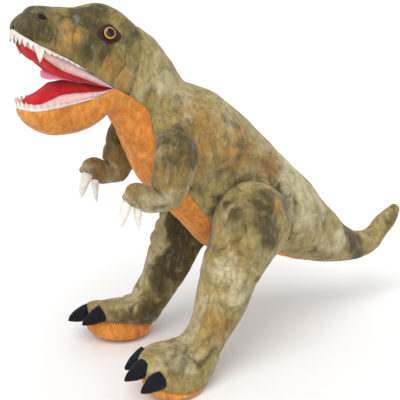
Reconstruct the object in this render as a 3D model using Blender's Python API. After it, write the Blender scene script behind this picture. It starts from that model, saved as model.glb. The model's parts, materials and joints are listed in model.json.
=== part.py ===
"""Stuffed dinosaur: a standing soft toy with an open felt mouth.

The toy faces -X, its right side is +Y, and the floor is z = 0. Every cover is a fabric shell with
an open edge where it meets its neighbour, and holds a separate body of fibre stuffing. Covers that
bend against each other tuck one inside the other on a surface turned about the joint's axis.
Each outline is a short list of (x, z) points in the middle plane, and the covers are read from it.
"""

import math

import bmesh
import bpy
import numpy as np
from mathutils import Matrix, Vector

# ---- fabric ---------------------------------------------------------------------------------
SKIN = 0.0020  # plush cover with its pile
FELT = 0.0012  # mouth lining, teeth and eye patch
SEAM_GAP = 0.0004  # between two covers at a seam
JOINT_GAP = 0.0013  # between a cover and the neighbour it is tucked into, clear of both facets
STUFFING_GAP = 0.0028  # cover to stuffing, which also clears the flat facets of the cover
LEG_STUFFING_GAP = 0.0045  # the same in a leg, which bends
BENT_STUFFING_GAP = 0.0080  # the same where a limb bends sharply

# ---- trunk ----------------------------------------------------------------------------------
HIP = (0.042, 0.224)  # hip axis in the middle plane (x, z)
HIP_TO_TRUNK = (-0.008, 0.016)  # from the hip axis to the middle of the trunk
TRUNK_PITCH = math.radians(40.6)  # trunk rises this much towards the neck
TRUNK_LENGTH = 0.362  # tail joint to neck joint
TRUNK_DEPTH = 0.176  # belly to back
TRUNK_HALF_WIDTH = 0.074  # widest half of the belly
NECK_HALF_WIDTH = 0.049
TAIL_HALF_WIDTH = 0.050
BELLY_PANEL_HALF_WIDTH = 0.054
TUCK = math.radians(20)  # how far a cover reaches inside its neighbour, about the joint

# ---- hips and shoulders ---------------------------------------------------------------------
HIP_SEAT = 0.056  # flat side of the trunk that the thigh lies on, from the middle plane
HIP_SEAT_RADIUS = 0.090
NECK_TO_SHOULDER = (0.0051, -0.0530)  # from the neck joint to the shoulder axis (x, z)
SHOULDER_SEAT = 0.060
SHOULDER_SEAT_RADIUS = 0.052
SEAT_SLOPE = 0.9  # how fast the trunk swells again outside a seat
LIMB_GAP = 0.0012  # limb to trunk seat
CLAW_GAP = 0.0020  # claw to cover

# ---- head -----------------------------------------------------------------------------------
NECK_TO_JAW = (-0.0609, 0.0290)  # from the neck joint to the jaw axis (x, z)
HEAD_LENGTH = 0.122  # jaw axis to nose
HEAD_HEIGHT = 0.106  # jaw axis to brow
HEAD_HALF_WIDTH = 0.048
JAW_DEPTH = 0.038  # jaw axis to throat
JAW_HALF_WIDTH = 0.040
LINING_INSET = 0.0048  # rim of a cover to the edge of the gum
GUM_WIDTH = 0.008
GUM_DROP = 0.004  # how far the inner edge of the gum stands into the mouth
GUM_FULL = 0.45  # share of the way forward where it does so fully
PALATE_BULGE = 0.014  # how far the padded lining of the head stands into the mouth
FLOOR_BULGE = 0.020  # the same for the jaw
TOOTH_HEIGHT = 0.010
TEETH = 26  # along the whole curved strip
TONGUE_LENGTH = 0.058
TONGUE_HALF_WIDTH = 0.011
TONGUE_THICKNESS = 0.005

# ---- eyes -----------------------------------------------------------------------------------
EYE_DIAMETER = 0.016
EYE_RISE = 0.0055
EYE_POST_RADIUS = 0.0018
EYE_POST_LENGTH = 0.011
POST_CLEARANCE = 0.0006
WASHER_RADIUS = 0.006
WASHER_THICKNESS = 0.0012
EYE_PATCH_HALF = (0.015, 0.0115)  # half length and half height of the felt almond
BROW_HALF = (0.021, 0.0085)
BROW_CROWN = 0.0055
NOSTRIL_HALF = (0.0050, 0.0032)

# ---- limbs and claws ------------------------------------------------------------------------
TOE_CLAW = (0.0125, 0.034)  # base radius, length
HAND_CLAW = (0.0055, 0.034)
TAIL_LENGTH = 0.214  # tail joint to tail tip, along x

OLIVE = (0.175, 0.170, 0.085, 1)
DARK_OLIVE = (0.085, 0.085, 0.045, 1)
BROWN = (0.105, 0.080, 0.045, 1)
ORANGE = (0.720, 0.260, 0.050, 1)
PINK = (0.800, 0.560, 0.560, 1)
TONGUE_PINK = (0.850, 0.250, 0.400, 1)
RED = (0.620, 0.020, 0.030, 1)
IVORY = (0.780, 0.740, 0.690, 1)
NAVY = (0.012, 0.012, 0.025, 1)
BLACK = (0.010, 0.010, 0.010, 1)
AMBER = (0.600, 0.220, 0.020, 1)
WHITE = (0.800, 0.800, 0.780, 1)


# ---- scene and objects ----------------------------------------------------------------------
for leftover in list(bpy.data.objects):
    bpy.data.objects.remove(leftover, do_unlink=True)

toy = bpy.data.objects.new("toy", None)
bpy.context.collection.objects.link(toy)


def joint(name, place, parent=None):
    """An empty on a joint's axis, at a world point; the pieces of its body are its children."""
    empty = bpy.data.objects.new(name, None)
    bpy.context.collection.objects.link(empty)
    empty.parent = parent or toy
    origin = Vector(place)
    empty["place"] = tuple(origin)
    empty.location = origin - Vector((parent["place"] if parent else (0, 0, 0)))
    empty.empty_display_size = 0.03
    return empty


def finish(name, mesh_points, faces, colour, parent, roughness=0.9, mirror=False):
    """Makes one closed piece from world points and faces, with its own material, under its joint."""
    mesh = bpy.data.meshes.new(name)
    points = np.array(mesh_points, float)
    if mirror:
        points[:, 1] *= -1
    points = points - np.array(parent["place"] if parent != toy else (0, 0, 0))
    mesh.from_pydata(points.tolist(), [], faces)
    shape = bmesh.new()
    shape.from_mesh(mesh)
    bmesh.ops.recalc_face_normals(shape, faces=shape.faces)
    shape.to_mesh(mesh)
    shape.free()
    mesh.shade_smooth()
    mesh.set_sharp_from_angle(angle=math.radians(40))
    material = bpy.data.materials.new(name + "_finish")
    material.use_nodes = True
    shader = material.node_tree.nodes["Principled BSDF"]
    shader.inputs["Base Color"].default_value = colour
    shader.inputs["Roughness"].default_value = roughness
    shader.inputs["Metallic"].default_value = 0.0
    mesh.materials.append(material)
    obj = bpy.data.objects.new(name, mesh)
    bpy.context.collection.objects.link(obj)
    obj.parent = parent
    return obj


# ---- curves and surfaces --------------------------------------------------------------------
def curve(stations, along):
    """Smooth curve through numbered stations (Catmull-Rom with straight ends), read at `along`."""
    s = np.asarray(stations, float)
    s = np.concatenate([2 * s[:1] - s[1:2], s, 2 * s[-1:] - s[-2:-1]])
    last = len(s) - 3
    along = np.clip(along, 0, last)
    first = np.minimum(along.astype(int), last - 1)
    t = (along - first)[(...,) + (None,) * (s.ndim - 1)]
    a, b, c, d = s[first], s[first + 1], s[first + 2], s[first + 3]
    return b + t * ((c - a) / 2 + t * (a - 2.5 * b + 2 * c - d / 2 + t * (1.5 * (b - c) + (d - a) / 2)))


def tube(lower, upper, half_width, middle=None, lift=None, limit=None, tuck=None, heart=None):
    """A soft tube. Each section is an ellipse between a lower and an upper (x, z) point.

    `middle` holds the y of both points and `lift` tips the section sideways. `limit` flattens the
    sides against seats. `tuck` is (direction, radius): before station 0 the tube continues as
    a dome about the middle of that section. `heart` is a point inside a tube that ends flat.
    Angle 0 is the lower point, and +90 degrees is +Y. It gives each point and a point inside.
    """
    lower, upper = np.array(lower), np.array(upper)
    half_width = np.array(half_width)
    zero = np.zeros(len(lower))
    middle = np.stack([zero, zero], 1) if middle is None else np.array(middle)
    lift = zero if lift is None else np.array(lift)

    def surface(along, around):
        along, around = np.broadcast_arrays(np.asarray(along, float), np.asarray(around, float))
        low, high = curve(lower, along), curve(upper, along)
        side, tip = curve(half_width, along) * np.sin(around), curve(lift, along)
        y = curve(middle, along)
        share = (1 - np.cos(around)) / 2
        points = np.stack([
            low[..., 0] + (high - low)[..., 0] * share,
            y[..., 0] + (y[..., 1] - y[..., 0]) * share + side,
            low[..., 1] + (high - low)[..., 1] * share + side * tip,
        ], -1)
        core = np.stack([(low + high)[..., 0] / 2, y.mean(-1), (low + high)[..., 1] / 2], -1)
        if tuck:
            direction, radius = tuck
            angle = np.clip(-along, 0, None)[..., None] * TUCK
            back = np.array([direction[0], 0, direction[1]])
            points = core + (points - core) * np.cos(angle) + back * radius * np.sin(angle)
        inside = core if heart is None else core * 0 + heart
        return (limit(points) if limit else points), inside

    return surface


def offset(surface, along, around, depth):
    """The surface's points, moved inwards by `depth` along its normals."""
    step = 1e-4
    points, inside = surface(along, around)
    lengthwise = surface(along + step, around)[0] - surface(along - step, around)[0]
    crosswise = surface(along, around + step)[0] - surface(along, around - step)[0]
    normal = np.cross(lengthwise, crosswise)
    normal /= np.maximum(np.linalg.norm(normal, axis=-1, keepdims=True), 1e-15)
    normal *= np.where((normal * (points - inside)).sum(-1, keepdims=True) < 0, -1, 1)
    return points - depth * normal


def quads(rows, columns, wrap, start=0):
    """Faces of a grid of points numbered row by row."""
    i, j = np.meshgrid(np.arange(rows - 1), np.arange(columns if wrap else columns - 1), indexing="ij")
    k = (j + 1) % columns
    corners = np.stack([i * columns + j, i * columns + k, (i + 1) * columns + k, (i + 1) * columns + j], -1)
    return (corners.reshape(-1, 4) + start).tolist()


def edge_walls(loop_a, loop_b, closed):
    """Quads that join two rows of point numbers."""
    count = len(loop_a)
    steps = range(count if closed else count - 1)
    return [[loop_a[k], loop_a[(k + 1) % count], loop_b[(k + 1) % count], loop_b[k]] for k in steps]


def shell(outer, inner, wrap=False, capped=(False, False)):
    """A closed fabric shell between two grids. A capped end is closed over, an open one has a hem."""
    rows, columns = outer.shape[:2]
    total = rows * columns
    number = np.arange(total).reshape(rows, columns)
    faces = quads(rows, columns, wrap) + quads(rows, columns, wrap, total)
    for end, is_capped in zip((0, -1), capped):
        ring = number[end].tolist()
        if is_capped:
            faces += [ring, (number[end] + total).tolist()]
        else:
            faces += edge_walls(ring, (number[end] + total).tolist(), wrap)
    if not wrap:
        for side in (0, -1):
            faces += edge_walls(number[:, side].tolist(), (number[:, side] + total).tolist(), False)
    return np.concatenate([outer.reshape(-1, 3), inner.reshape(-1, 3)]), faces


def solid(grid):
    """A closed solid from rings of points, closed over at both ends."""
    rows, columns = grid.shape[:2]
    number = np.arange(rows * columns).reshape(rows, columns)
    return grid.reshape(-1, 3), quads(rows, columns, True) + [number[0].tolist(), number[-1].tolist()]


def sheet(surface, along, around, wrap=False, capped=(False, False)):
    """A cover whose outside lies on the surface."""
    along, around = grid_of(along, around)
    outer, inner = surface(along, around)[0], offset(surface, along, around, SKIN)
    return shell(outer, inner, wrap, capped)


def grid_of(along, around):
    along = np.asarray(along, float)[:, None]
    around = np.asarray(around, float)
    return np.broadcast_arrays(along, around if around.ndim == 2 else around[None, :])


def between(start, end, count):
    """Rows of `count` even steps from start to end, which may be arrays."""
    share = np.linspace(0, 1, count)
    return np.asarray(start)[..., None] * (1 - share) + np.asarray(end)[..., None] * share


def full_ring(count):
    return np.arange(count) * 2 * math.pi / count


# ---- trunk ----------------------------------------------------------------------------------
FORWARD = np.array([-math.cos(TRUNK_PITCH), math.sin(TRUNK_PITCH)])
BACKWARD_UP = np.array([math.sin(TRUNK_PITCH), math.cos(TRUNK_PITCH)])
TRUNK_MIDDLE = np.array(HIP) + np.array(HIP_TO_TRUNK)


def on_trunk(along, up):
    """A point of the middle plane, from shares of the trunk's length and depth."""
    return TRUNK_MIDDLE + along * TRUNK_LENGTH * FORWARD + up * TRUNK_DEPTH * BACKWARD_UP


# Stations from the tail joint to the neck joint: tail joint, tail base, hip, belly, chest,
# shoulder and neck joint, with the belly side first.
TRUNK_LOWER = [on_trunk(*p) for p in (
    (-0.476, -0.043), (-0.358, -0.117), (-0.111, -0.380), (0.142, -0.332),
    (0.351, -0.267), (0.502, -0.130), (0.580, -0.050),
)]
TRUNK_UPPER = [on_trunk(*p) for p in (
    (-0.435, 0.580), (-0.313, 0.620), (-0.079, 0.640), (0.105, 0.661),
    (0.316, 0.662), (0.445, 0.570), (0.502, 0.567),
)]
NECK_MIDDLE = (TRUNK_LOWER[-1] + TRUNK_UPPER[-1]) / 2
SHOULDER = tuple(NECK_MIDDLE + NECK_TO_SHOULDER)
JAW_AXIS = tuple(NECK_MIDDLE + NECK_TO_JAW)


def seat_limit(points):
    """Keeps the trunk's sides inside the flat seats of the thighs and the upper arms."""
    bound = np.full(points.shape[:-1], np.inf)
    seats = ((HIP, HIP_SEAT_RADIUS, HIP_SEAT), (SHOULDER, SHOULDER_SEAT_RADIUS, SHOULDER_SEAT))
    for (x, z), radius, plane in seats:
        away = np.hypot(points[..., 0] - x, points[..., 2] - z) - radius
        bound = np.minimum(bound, plane + SEAT_SLOPE * np.clip(away, 0, None))
    points = points.copy()
    points[..., 1] = np.clip(points[..., 1], -bound, bound)
    return points


SIDE_SHARES = (None, 0.84, 0.97, 1.00, 0.93, 0.82, None)
TRUNK_SIDES = [share and share * TRUNK_HALF_WIDTH for share in SIDE_SHARES]
TRUNK_SIDES[0], TRUNK_SIDES[-1] = TAIL_HALF_WIDTH, NECK_HALF_WIDTH
PANEL_SIDES = [BELLY_PANEL_HALF_WIDTH * share for share in (0.37, 0.50, 0.74, 0.94, 1.00, 0.93, 0.84)]
NECK_STATION = len(TRUNK_LOWER) - 1

trunk_surface = tube(TRUNK_LOWER, TRUNK_UPPER, TRUNK_SIDES, limit=seat_limit)


def panel_angle(along, sides, panel_sides):
    """Half angle of the underside panel, from its own half width and the tube's."""
    return np.arcsin(np.clip(curve(panel_sides, along) / curve(sides, along), 0, 0.95))


def seam_angle(along, sides):
    """Half of the seam's gap, as an angle around the tube."""
    return SEAM_GAP / curve(sides, along)


trunk_rows = np.linspace(0, NECK_STATION, 13)
trunk_seam = panel_angle(trunk_rows, TRUNK_SIDES, PANEL_SIDES)
trunk_gap = seam_angle(trunk_rows, TRUNK_SIDES)
finish("torso_skin", *sheet(
    trunk_surface, trunk_rows,
    between(trunk_seam + trunk_gap, 2 * math.pi - trunk_seam - trunk_gap, 17)), OLIVE, toy)
finish("belly_panel", *sheet(
    trunk_surface, trunk_rows, between(-trunk_seam + trunk_gap, trunk_seam - trunk_gap, 5)), ORANGE, toy)

TAIL_RECESS = 0.98  # stations left free for the tucked ends of the tail and the neck
NECK_RECESS = 1.35
FILL_SIDE = min(HIP_SEAT, SHOULDER_SEAT) - SKIN - STUFFING_GAP


def fill_limit(points):
    """Keeps the trunk's stuffing inside both pairs of seats."""
    points = points.copy()
    points[..., 1] = np.clip(points[..., 1], -FILL_SIDE, FILL_SIDE)
    return points


stuffing_rows = np.linspace(TAIL_RECESS, NECK_STATION - NECK_RECESS, 8)
finish("torso_stuffing", *solid(fill_limit(offset(
    tube(TRUNK_LOWER, TRUNK_UPPER, TRUNK_SIDES), *grid_of(stuffing_rows, full_ring(14)),
    SKIN + BENT_STUFFING_GAP))), WHITE, toy)

# ---- neck -----------------------------------------------------------------------------------
TUCK_INSET = SKIN + JOINT_GAP  # the tucked section is this much smaller than the one around it


def tucked(low, high):
    """Middle, upward direction and tucked half height of the section between two points."""
    half = np.linalg.norm(high - low) / 2
    return (low + high) / 2, (high - low) / (2 * half), half - TUCK_INSET


NECK_PIVOT, NECK_UP, NECK_RADIUS = tucked(TRUNK_LOWER[-1], TRUNK_UPPER[-1])
NECK_LOW, NECK_HIGH = NECK_PIVOT - NECK_UP * NECK_RADIUS, NECK_PIVOT + NECK_UP * NECK_RADIUS
NECK_BACK = np.array([NECK_UP[1], -NECK_UP[0]])
THROAT = np.array(JAW_AXIS) + np.array([0.006, -JAW_DEPTH - 0.0015])


def on_head(forward, up):
    """A point of the middle plane, from shares of the head's length and height at the jaw axis."""
    return np.array([JAW_AXIS[0] - forward * HEAD_LENGTH, JAW_AXIS[1] + up * HEAD_HEIGHT])


SEAM_LOW, SEAM_HIGH = on_head(-0.100, -0.380), on_head(-0.360, 0.726)
neck = joint("neck_axis", (NECK_PIVOT[0], 0, NECK_PIVOT[1]))
NECK_LOWER = [NECK_LOW, THROAT + (0.0, 0.0005), THROAT + (0.001, 0.0), SEAM_LOW]
NECK_UPPER = [
    NECK_HIGH, NECK_HIGH * 0.64 + SEAM_HIGH * 0.36 + (0.006, 0.0),
    NECK_HIGH * 0.30 + SEAM_HIGH * 0.70 + (0.006, 0.002), SEAM_HIGH,
]
NECK_SIDES = [NECK_HALF_WIDTH - TUCK_INSET, NECK_HALF_WIDTH * 0.97, NECK_HALF_WIDTH * 0.98, HEAD_HALF_WIDTH]
THROAT_SIDES = [PANEL_SIDES[-1], PANEL_SIDES[-1] * 0.98, HEAD_HALF_WIDTH * 0.84, HEAD_HALF_WIDTH * 0.87]
neck_surface = tube(NECK_LOWER, NECK_UPPER, NECK_SIDES, tuck=(NECK_BACK, NECK_RADIUS))

HEM = 0.03  # share of a station that a cover stops short of a cross seam
neck_rows = np.concatenate([[-1, -0.5], np.linspace(0, 3 - HEM, 7)])
neck_seam = panel_angle(neck_rows, NECK_SIDES, THROAT_SIDES)
neck_gap = seam_angle(neck_rows, NECK_SIDES)
finish("neck_skin", *sheet(
    neck_surface, neck_rows,
    between(neck_seam + neck_gap, 2 * math.pi - neck_seam - neck_gap, 15)), OLIVE, neck)
THROAT_END = 4  # rows of the neck that the throat panel covers
finish("throat_panel", *sheet(
    neck_surface, neck_rows[:THROAT_END],
    between(-neck_seam + neck_gap, neck_seam - neck_gap, 5)[:THROAT_END]), ORANGE, neck)
finish("neck_stuffing", *solid(offset(
    neck_surface, *grid_of(np.linspace(-0.85, 0.45, 4), full_ring(12)), SKIN + STUFFING_GAP)), WHITE, neck)

# ---- head -----------------------------------------------------------------------------------
# Stations from the neck seam to the tip of the nose. Each is the section's middle and its top;
# the rim angle says where the cover ends above the mouth.
HEAD_MIDDLE = [(SEAM_LOW + SEAM_HIGH) / 2] + [on_head(*p) for p in (
    (0.033, 0.245), (0.311, 0.275), (0.574, 0.435), (0.820, 0.595), (0.951, 0.690), (0.992, 0.745),
)]
HEAD_TOP = [SEAM_HIGH] + [on_head(*p) for p in (
    (0.000, 0.980), (0.328, 0.950), (0.557, 0.962), (0.787, 0.995), (0.934, 0.870), (0.985, 0.790),
)]
HEAD_SIDES = [HEAD_HALF_WIDTH * share for share in (1.00, 0.97, 0.87, 0.80, 0.76, 0.54, 0.08)]
RIM_ANGLES = np.radians([62, 72, 86, 88, 88, 88, 88])
HEAD_LOWER = [2 * m - t for m, t in zip(HEAD_MIDDLE, HEAD_TOP)]
NOSE_SEAM = 4.45
MOUTH_CORNER = 1.0  # station of the head at the corner of the mouth
head_surface = tube(HEAD_LOWER, HEAD_TOP, HEAD_SIDES)


def arch(rows, columns, end_margin=0.0):
    rim = curve(RIM_ANGLES, rows) + end_margin
    return between(rim, 2 * math.pi - rim, columns)


head_rows = np.concatenate([[HEM], np.linspace(0.5, NOSE_SEAM - 0.02, 9)])
head_skin = finish("head_skin", *sheet(head_surface, head_rows, arch(head_rows, 15)), OLIVE, neck)
nose_rows = np.array([NOSE_SEAM + 0.02, 4.9, 5.4, 5.9])
finish("nose_panel", *sheet(head_surface, nose_rows, arch(nose_rows, 11)), DARK_OLIVE, neck)

FLOOR_OF_STUFFING = math.radians(13)  # keeps the stuffing above the mouth lining
head_fill_rows = np.linspace(0.15, 4.5, 7)
head_stuffing = finish("head_stuffing", *solid(offset(
    head_surface, *grid_of(head_fill_rows, arch(head_fill_rows, 11, FLOOR_OF_STUFFING)),
    SKIN + STUFFING_GAP)), WHITE, neck)


# ---- jaw ------------------------------------------------------------------------------------
jaw = joint("jaw_axis", (JAW_AXIS[0], 0, JAW_AXIS[1]), neck)
JAW_RIM = [on_head(*p) for p in (
    (0.000, 0.000), (0.213, -0.066), (0.443, -0.122), (0.689, -0.170), (0.885, -0.198), (0.988, -0.198),
)]
JAW_DROP = [JAW_DEPTH * share for share in (1.00, 1.20, 1.21, 1.05, 0.62, 0.18)]
JAW_BOTTOM = [rim - (0, drop) for rim, drop in zip(JAW_RIM, JAW_DROP)]
JAW_SIDES = [JAW_HALF_WIDTH * share for share in (1.00, 1.00, 0.98, 0.93, 0.76, 0.10)]
JAW_UPPER = [2 * rim - low for rim, low in zip(JAW_RIM, JAW_BOTTOM)]
CHIN_STATION = len(JAW_RIM) - 1
jaw_surface = tube(JAW_BOTTOM, JAW_UPPER, JAW_SIDES, tuck=((1.0, 0.0), JAW_DEPTH))

JAW_ROWS = 12
jaw_rows = np.concatenate([[-1, -0.5], np.linspace(0, CHIN_STATION - 0.1, JAW_ROWS - 2)])
QUARTER = math.pi / 2
finish("jaw_skin", *sheet(
    jaw_surface, jaw_rows, between(np.full(JAW_ROWS, -QUARTER), np.full(JAW_ROWS, QUARTER), 11)), ORANGE, jaw)
JAW_FILL = math.radians(73)
jaw_fill_rows = np.linspace(0.1, 4.2, 7)
finish("jaw_stuffing", *solid(offset(
    jaw_surface, *grid_of(jaw_fill_rows, np.linspace(-JAW_FILL, JAW_FILL, 9)),
    SKIN + STUFFING_GAP)), WHITE, jaw)


# ---- mouth ----------------------------------------------------------------------------------
def upper_rim(station):
    """Rim of the head cover at a station: x, half width and z."""
    points = head_surface(station, curve(RIM_ANGLES, station))[0]
    return points[..., 0], points[..., 1], points[..., 2]


def lower_rim(station):
    points = jaw_surface(station, np.full(np.shape(station), QUARTER))[0]
    return points[..., 0], points[..., 1], points[..., 2]


def smooth_step(value, low, high):
    share = np.clip((value - low) / (high - low), 0, 1)
    return share * share * (3 - 2 * share)


def lining(rim, first, last, towards, bulge):
    """The padded lining inside a jaw, bulging into the mouth (`towards` is -1 down or 1 up)."""
    share = np.linspace(0, 1, 8)[:, None]
    across = np.linspace(-1, 1, 7)[None, :]
    x, side, z = (value * np.ones_like(across) for value in rim(first + (last - first) * share))
    half = side - LINING_INSET - GUM_WIDTH - SEAM_GAP
    fullness = smooth_step(share, 0, 0.6) * (1 - smooth_step(share, 0.72, 1))
    drop = GUM_DROP * smooth_step(share, 0, GUM_FULL)
    rise = towards * (drop + bulge * fullness * (1 - across ** 2))
    visible = np.stack([x, half * across, z + rise], -1)
    hidden = visible - (0, 0, towards * FELT)
    return shell(visible, hidden)


def rim_path(rim, first, last, count, inset):
    """Plan points along the curved rim, from one mouth corner round the front to the other."""
    turn = np.linspace(-1, 1, count)
    station = last - (last - first) * np.abs(turn) ** 1.35
    x, side, z = rim(station)
    side = side * np.sign(turn)
    plan = np.stack([x, side], -1)
    tangent = np.gradient(plan, axis=0)
    tangent /= np.linalg.norm(tangent, axis=-1, keepdims=True)
    inward = np.stack([-tangent[:, 1], tangent[:, 0]], -1)
    inward *= np.sign((inward * (np.array([JAW_AXIS[0], 0]) - plan)).sum(-1, keepdims=True))
    return plan + inward * inset, z, 1 - np.abs(turn) ** 1.35


def gum(rim, first, last, towards):
    """The pink band between the rim and the lining, one strip round the whole mouth."""
    outer_plan, z, forward = rim_path(rim, first, last, 27, LINING_INSET)
    inner_plan, _, _ = rim_path(rim, first, last, 27, LINING_INSET + GUM_WIDTH)
    share = np.linspace(0, 1, 2)[None, :, None]
    plan = outer_plan[:, None] * (1 - share) + inner_plan[:, None] * share
    drop = GUM_DROP * smooth_step(forward, 0, GUM_FULL)[:, None]
    height = z[:, None] + towards * drop * share[..., 0]
    visible = np.concatenate([plan, height[..., None]], -1)
    return shell(visible, visible - (0, 0, towards * FELT))


def teeth(rim, first, last, towards):
    """A felt strip cut into points, standing on the rim of a jaw."""
    columns = 2 * TEETH + 1
    outer_plan, z, _ = rim_path(rim, first, last, columns, SKIN / 2 - FELT / 2)
    inner_plan, _, _ = rim_path(rim, first, last, columns, SKIN / 2 + FELT / 2)
    reach = np.where(np.arange(columns) % 2 == 1, TOOTH_HEIGHT, TOOTH_HEIGHT * 0.45)
    level = np.stack([z + towards * SEAM_GAP, z + towards * (SEAM_GAP + reach)], 1)
    outer = np.concatenate([np.repeat(outer_plan[:, None], 2, 1), level[..., None]], -1)
    inner = np.concatenate([np.repeat(inner_plan[:, None], 2, 1), level[..., None]], -1)
    return shell(outer, inner)


finish("palate_lining", *lining(upper_rim, MOUTH_CORNER + 0.35, 4.5, -1, PALATE_BULGE), RED, neck)
finish("upper_gum", *gum(upper_rim, MOUTH_CORNER + 0.3, 5.35, -1), PINK, neck)
finish("upper_teeth", *teeth(upper_rim, 2.1, 5.75, -1), IVORY, neck)
finish("mouth_floor_lining", *lining(lower_rim, 0.35, 3.4, 1, FLOOR_BULGE), RED, jaw)
finish("lower_gum", *gum(lower_rim, 0.3, 4.45, 1), PINK, jaw)
finish("lower_teeth", *teeth(lower_rim, 1.5, 4.75, 1), IVORY, jaw)

# ---- tongue ---------------------------------------------------------------------------------
TONGUE_ROOT = on_head(0.270, 0.085)
TONGUE_RISE = math.radians(13)
tongue = joint("tongue_axis", (TONGUE_ROOT[0], 0, TONGUE_ROOT[1]), jaw)


def tongue_solid():
    """A flat flap with a round tip: an ellipse section that widens, then closes at the tip."""
    share = np.linspace(0, 1, 9)[:, None]
    angle = full_ring(10)[None, :]
    swell = (0.75 + 0.6 * share) * np.sqrt(np.clip(1 - (share / 1.02) ** 8, 0, 1))
    length = share * TONGUE_LENGTH
    lift = TONGUE_THICKNESS / 2 * np.sin(angle) * np.minimum(swell, 1)
    x = TONGUE_ROOT[0] - length * math.cos(TONGUE_RISE) - lift * math.sin(TONGUE_RISE)
    z = TONGUE_ROOT[1] + length * math.sin(TONGUE_RISE) + lift * math.cos(TONGUE_RISE)
    y = TONGUE_HALF_WIDTH * swell * np.cos(angle)
    return solid(np.stack([x, y, z], -1))


finish("tongue", *tongue_solid(), TONGUE_PINK, tongue)


# ---- eyes, brows and nostrils ---------------------------------------------------------------
def frame_at(surface, station, angle):
    """Point, normal, and two tangents of a surface, the first pointing forward."""
    here, angle = np.array([station]), np.array([angle])
    point = surface(here, angle)[0][0]
    normal = (offset(surface, here, angle, -1.0) - surface(here, angle)[0])[0]
    forward = np.array([-1.0, 0, 0]) - normal * -normal[0]
    forward /= np.linalg.norm(forward)
    return point, normal, forward, np.cross(normal, forward)


def seat_rings(surface, station, angle, outline, shares, clearance):
    """Rings on a surface, round one of its points, `clearance` above it and scaled by `shares`."""
    step = 1e-3
    here, turn = np.array([station]), np.array([angle])
    base = surface(here, turn)[0][0]
    by_station = (surface(here + step, turn)[0][0] - base) / step
    by_angle = (surface(here, turn + step)[0][0] - base) / step
    _, _, forward, across = frame_at(surface, station, angle)
    plan = shares[..., None] * outline[None]
    world = plan[..., :1] * forward + plan[..., 1:] * across
    moved = world @ np.linalg.pinv(np.stack([by_station, by_angle], 1)).T
    along, around = station + moved[..., 0], angle + moved[..., 1]
    return along, around, offset(surface, along, around, -clearance)


def pad(surface, station, angle, half_size, thickness, clearance, hole=0.0, crown=0.0, pointed=1.0, turn=0.0):
    """A felt or plush patch that follows the surface, from a hole or its centre outwards."""
    turned = full_ring(14)
    tall = np.sign(np.sin(turned)) * np.abs(np.sin(turned)) ** pointed
    out = np.stack([np.cos(turned) * half_size[0], tall * half_size[1]], -1)
    out = out @ np.array([[math.cos(turn), math.sin(turn)], [-math.sin(turn), math.cos(turn)]])
    smallest = max(hole, 0.001) / np.linalg.norm(out, axis=-1)
    share = smallest[None] + (1 - smallest)[None] * np.linspace(0, 1, 3)[:, None]
    along, around, low = seat_rings(surface, station, angle, out, share, clearance)
    unit = offset(surface, along, around, -clearance - 1.0) - low
    high = low + unit * (thickness + crown * (1 - share ** 2))[..., None]
    if hole:
        return shell(high, low, wrap=True)
    return solid(np.concatenate([low, high[::-1]]))


def claw_on(surface, station, angle, yaw, pitch, size, droop):
    """A stuffed claw: its base follows the cover, and a cone with a round tip bends down from it.

    Yaw turns the claw towards -Y and pitch turns it down.
    """
    radius, length = size
    level = math.cos(pitch)
    direction = np.array([-level * math.cos(yaw), -level * math.sin(yaw), -math.sin(pitch)])
    _, _, forward, across = frame_at(surface, station, angle)
    turned = full_ring(9)
    out = np.stack([np.cos(turned), np.sin(turned)], -1) * radius
    shares = np.repeat(np.array([[0.12], [0.6], [1.0]]), 9, 1)
    base = seat_rings(surface, station, angle, out, shares, CLAW_GAP)[2]
    centre = base[-1].mean(0)
    ring = out[:, :1] * forward + out[:, 1:] * across
    side = np.cross(direction, (0, 0, 1.0))
    down = np.cross(direction, side / np.linalg.norm(side))
    share = np.array([0.25, 0.5, 0.75, 0.93, 1.0])[:, None, None]
    taper = np.array([0.93, 0.72, 0.43, 0.2, 0.07])[:, None, None]
    flat = ring - (ring @ direction)[:, None] * direction
    path = centre + direction * length * share + down * droop * length * share ** 2
    return solid(np.concatenate([base, path + flat[None] * taper]))


def turned_piece(profile, point, normal, count=12):
    """Turns an (along the axis, radius) profile about a normal. The profile closes on itself."""
    normal = normal / np.linalg.norm(normal)
    side = np.cross(normal, (0.0, 0.0, 1.0))
    side /= np.linalg.norm(side)
    other = np.cross(normal, side)
    angle = full_ring(count)
    ring = np.cos(angle)[:, None] * side + np.sin(angle)[:, None] * other
    rows = [point + normal * height + ring * radius for height, radius in profile]
    return np.stack(rows)


def washer_solid(grid):
    """A ring-shaped solid: the profile's last ring joins its first."""
    rows, columns = grid.shape[:2]
    number = np.arange(rows * columns).reshape(rows, columns)
    faces = quads(rows, columns, True) + edge_walls(number[-1].tolist(), number[0].tolist(), True)
    return grid.reshape(-1, 3), faces


def cylinder_cutter(name, point, normal, radius, start, end):
    cutter = finish(name, *solid(turned_piece([(start, radius), (end, radius)], point, normal)), WHITE, neck)
    cutter.hide_render = True
    cutter.display_type = "WIRE"
    return cutter


def cut(obj, cutter):
    boolean = obj.modifiers.new("cut_" + cutter.name, "BOOLEAN")
    boolean.operation = "DIFFERENCE"
    boolean.solver = "EXACT"
    boolean.object = cutter


EYE_STATION, EYE_ANGLE = 1.08, math.radians(127)
BROW_STATION, BROW_ANGLE = 1.00, math.radians(149)
NOSTRIL_STATION, NOSTRIL_ANGLE = 3.80, math.radians(138)
PATCH_LIFT = 0.0005
eye_seat = PATCH_LIFT + FELT + SEAM_GAP


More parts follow.
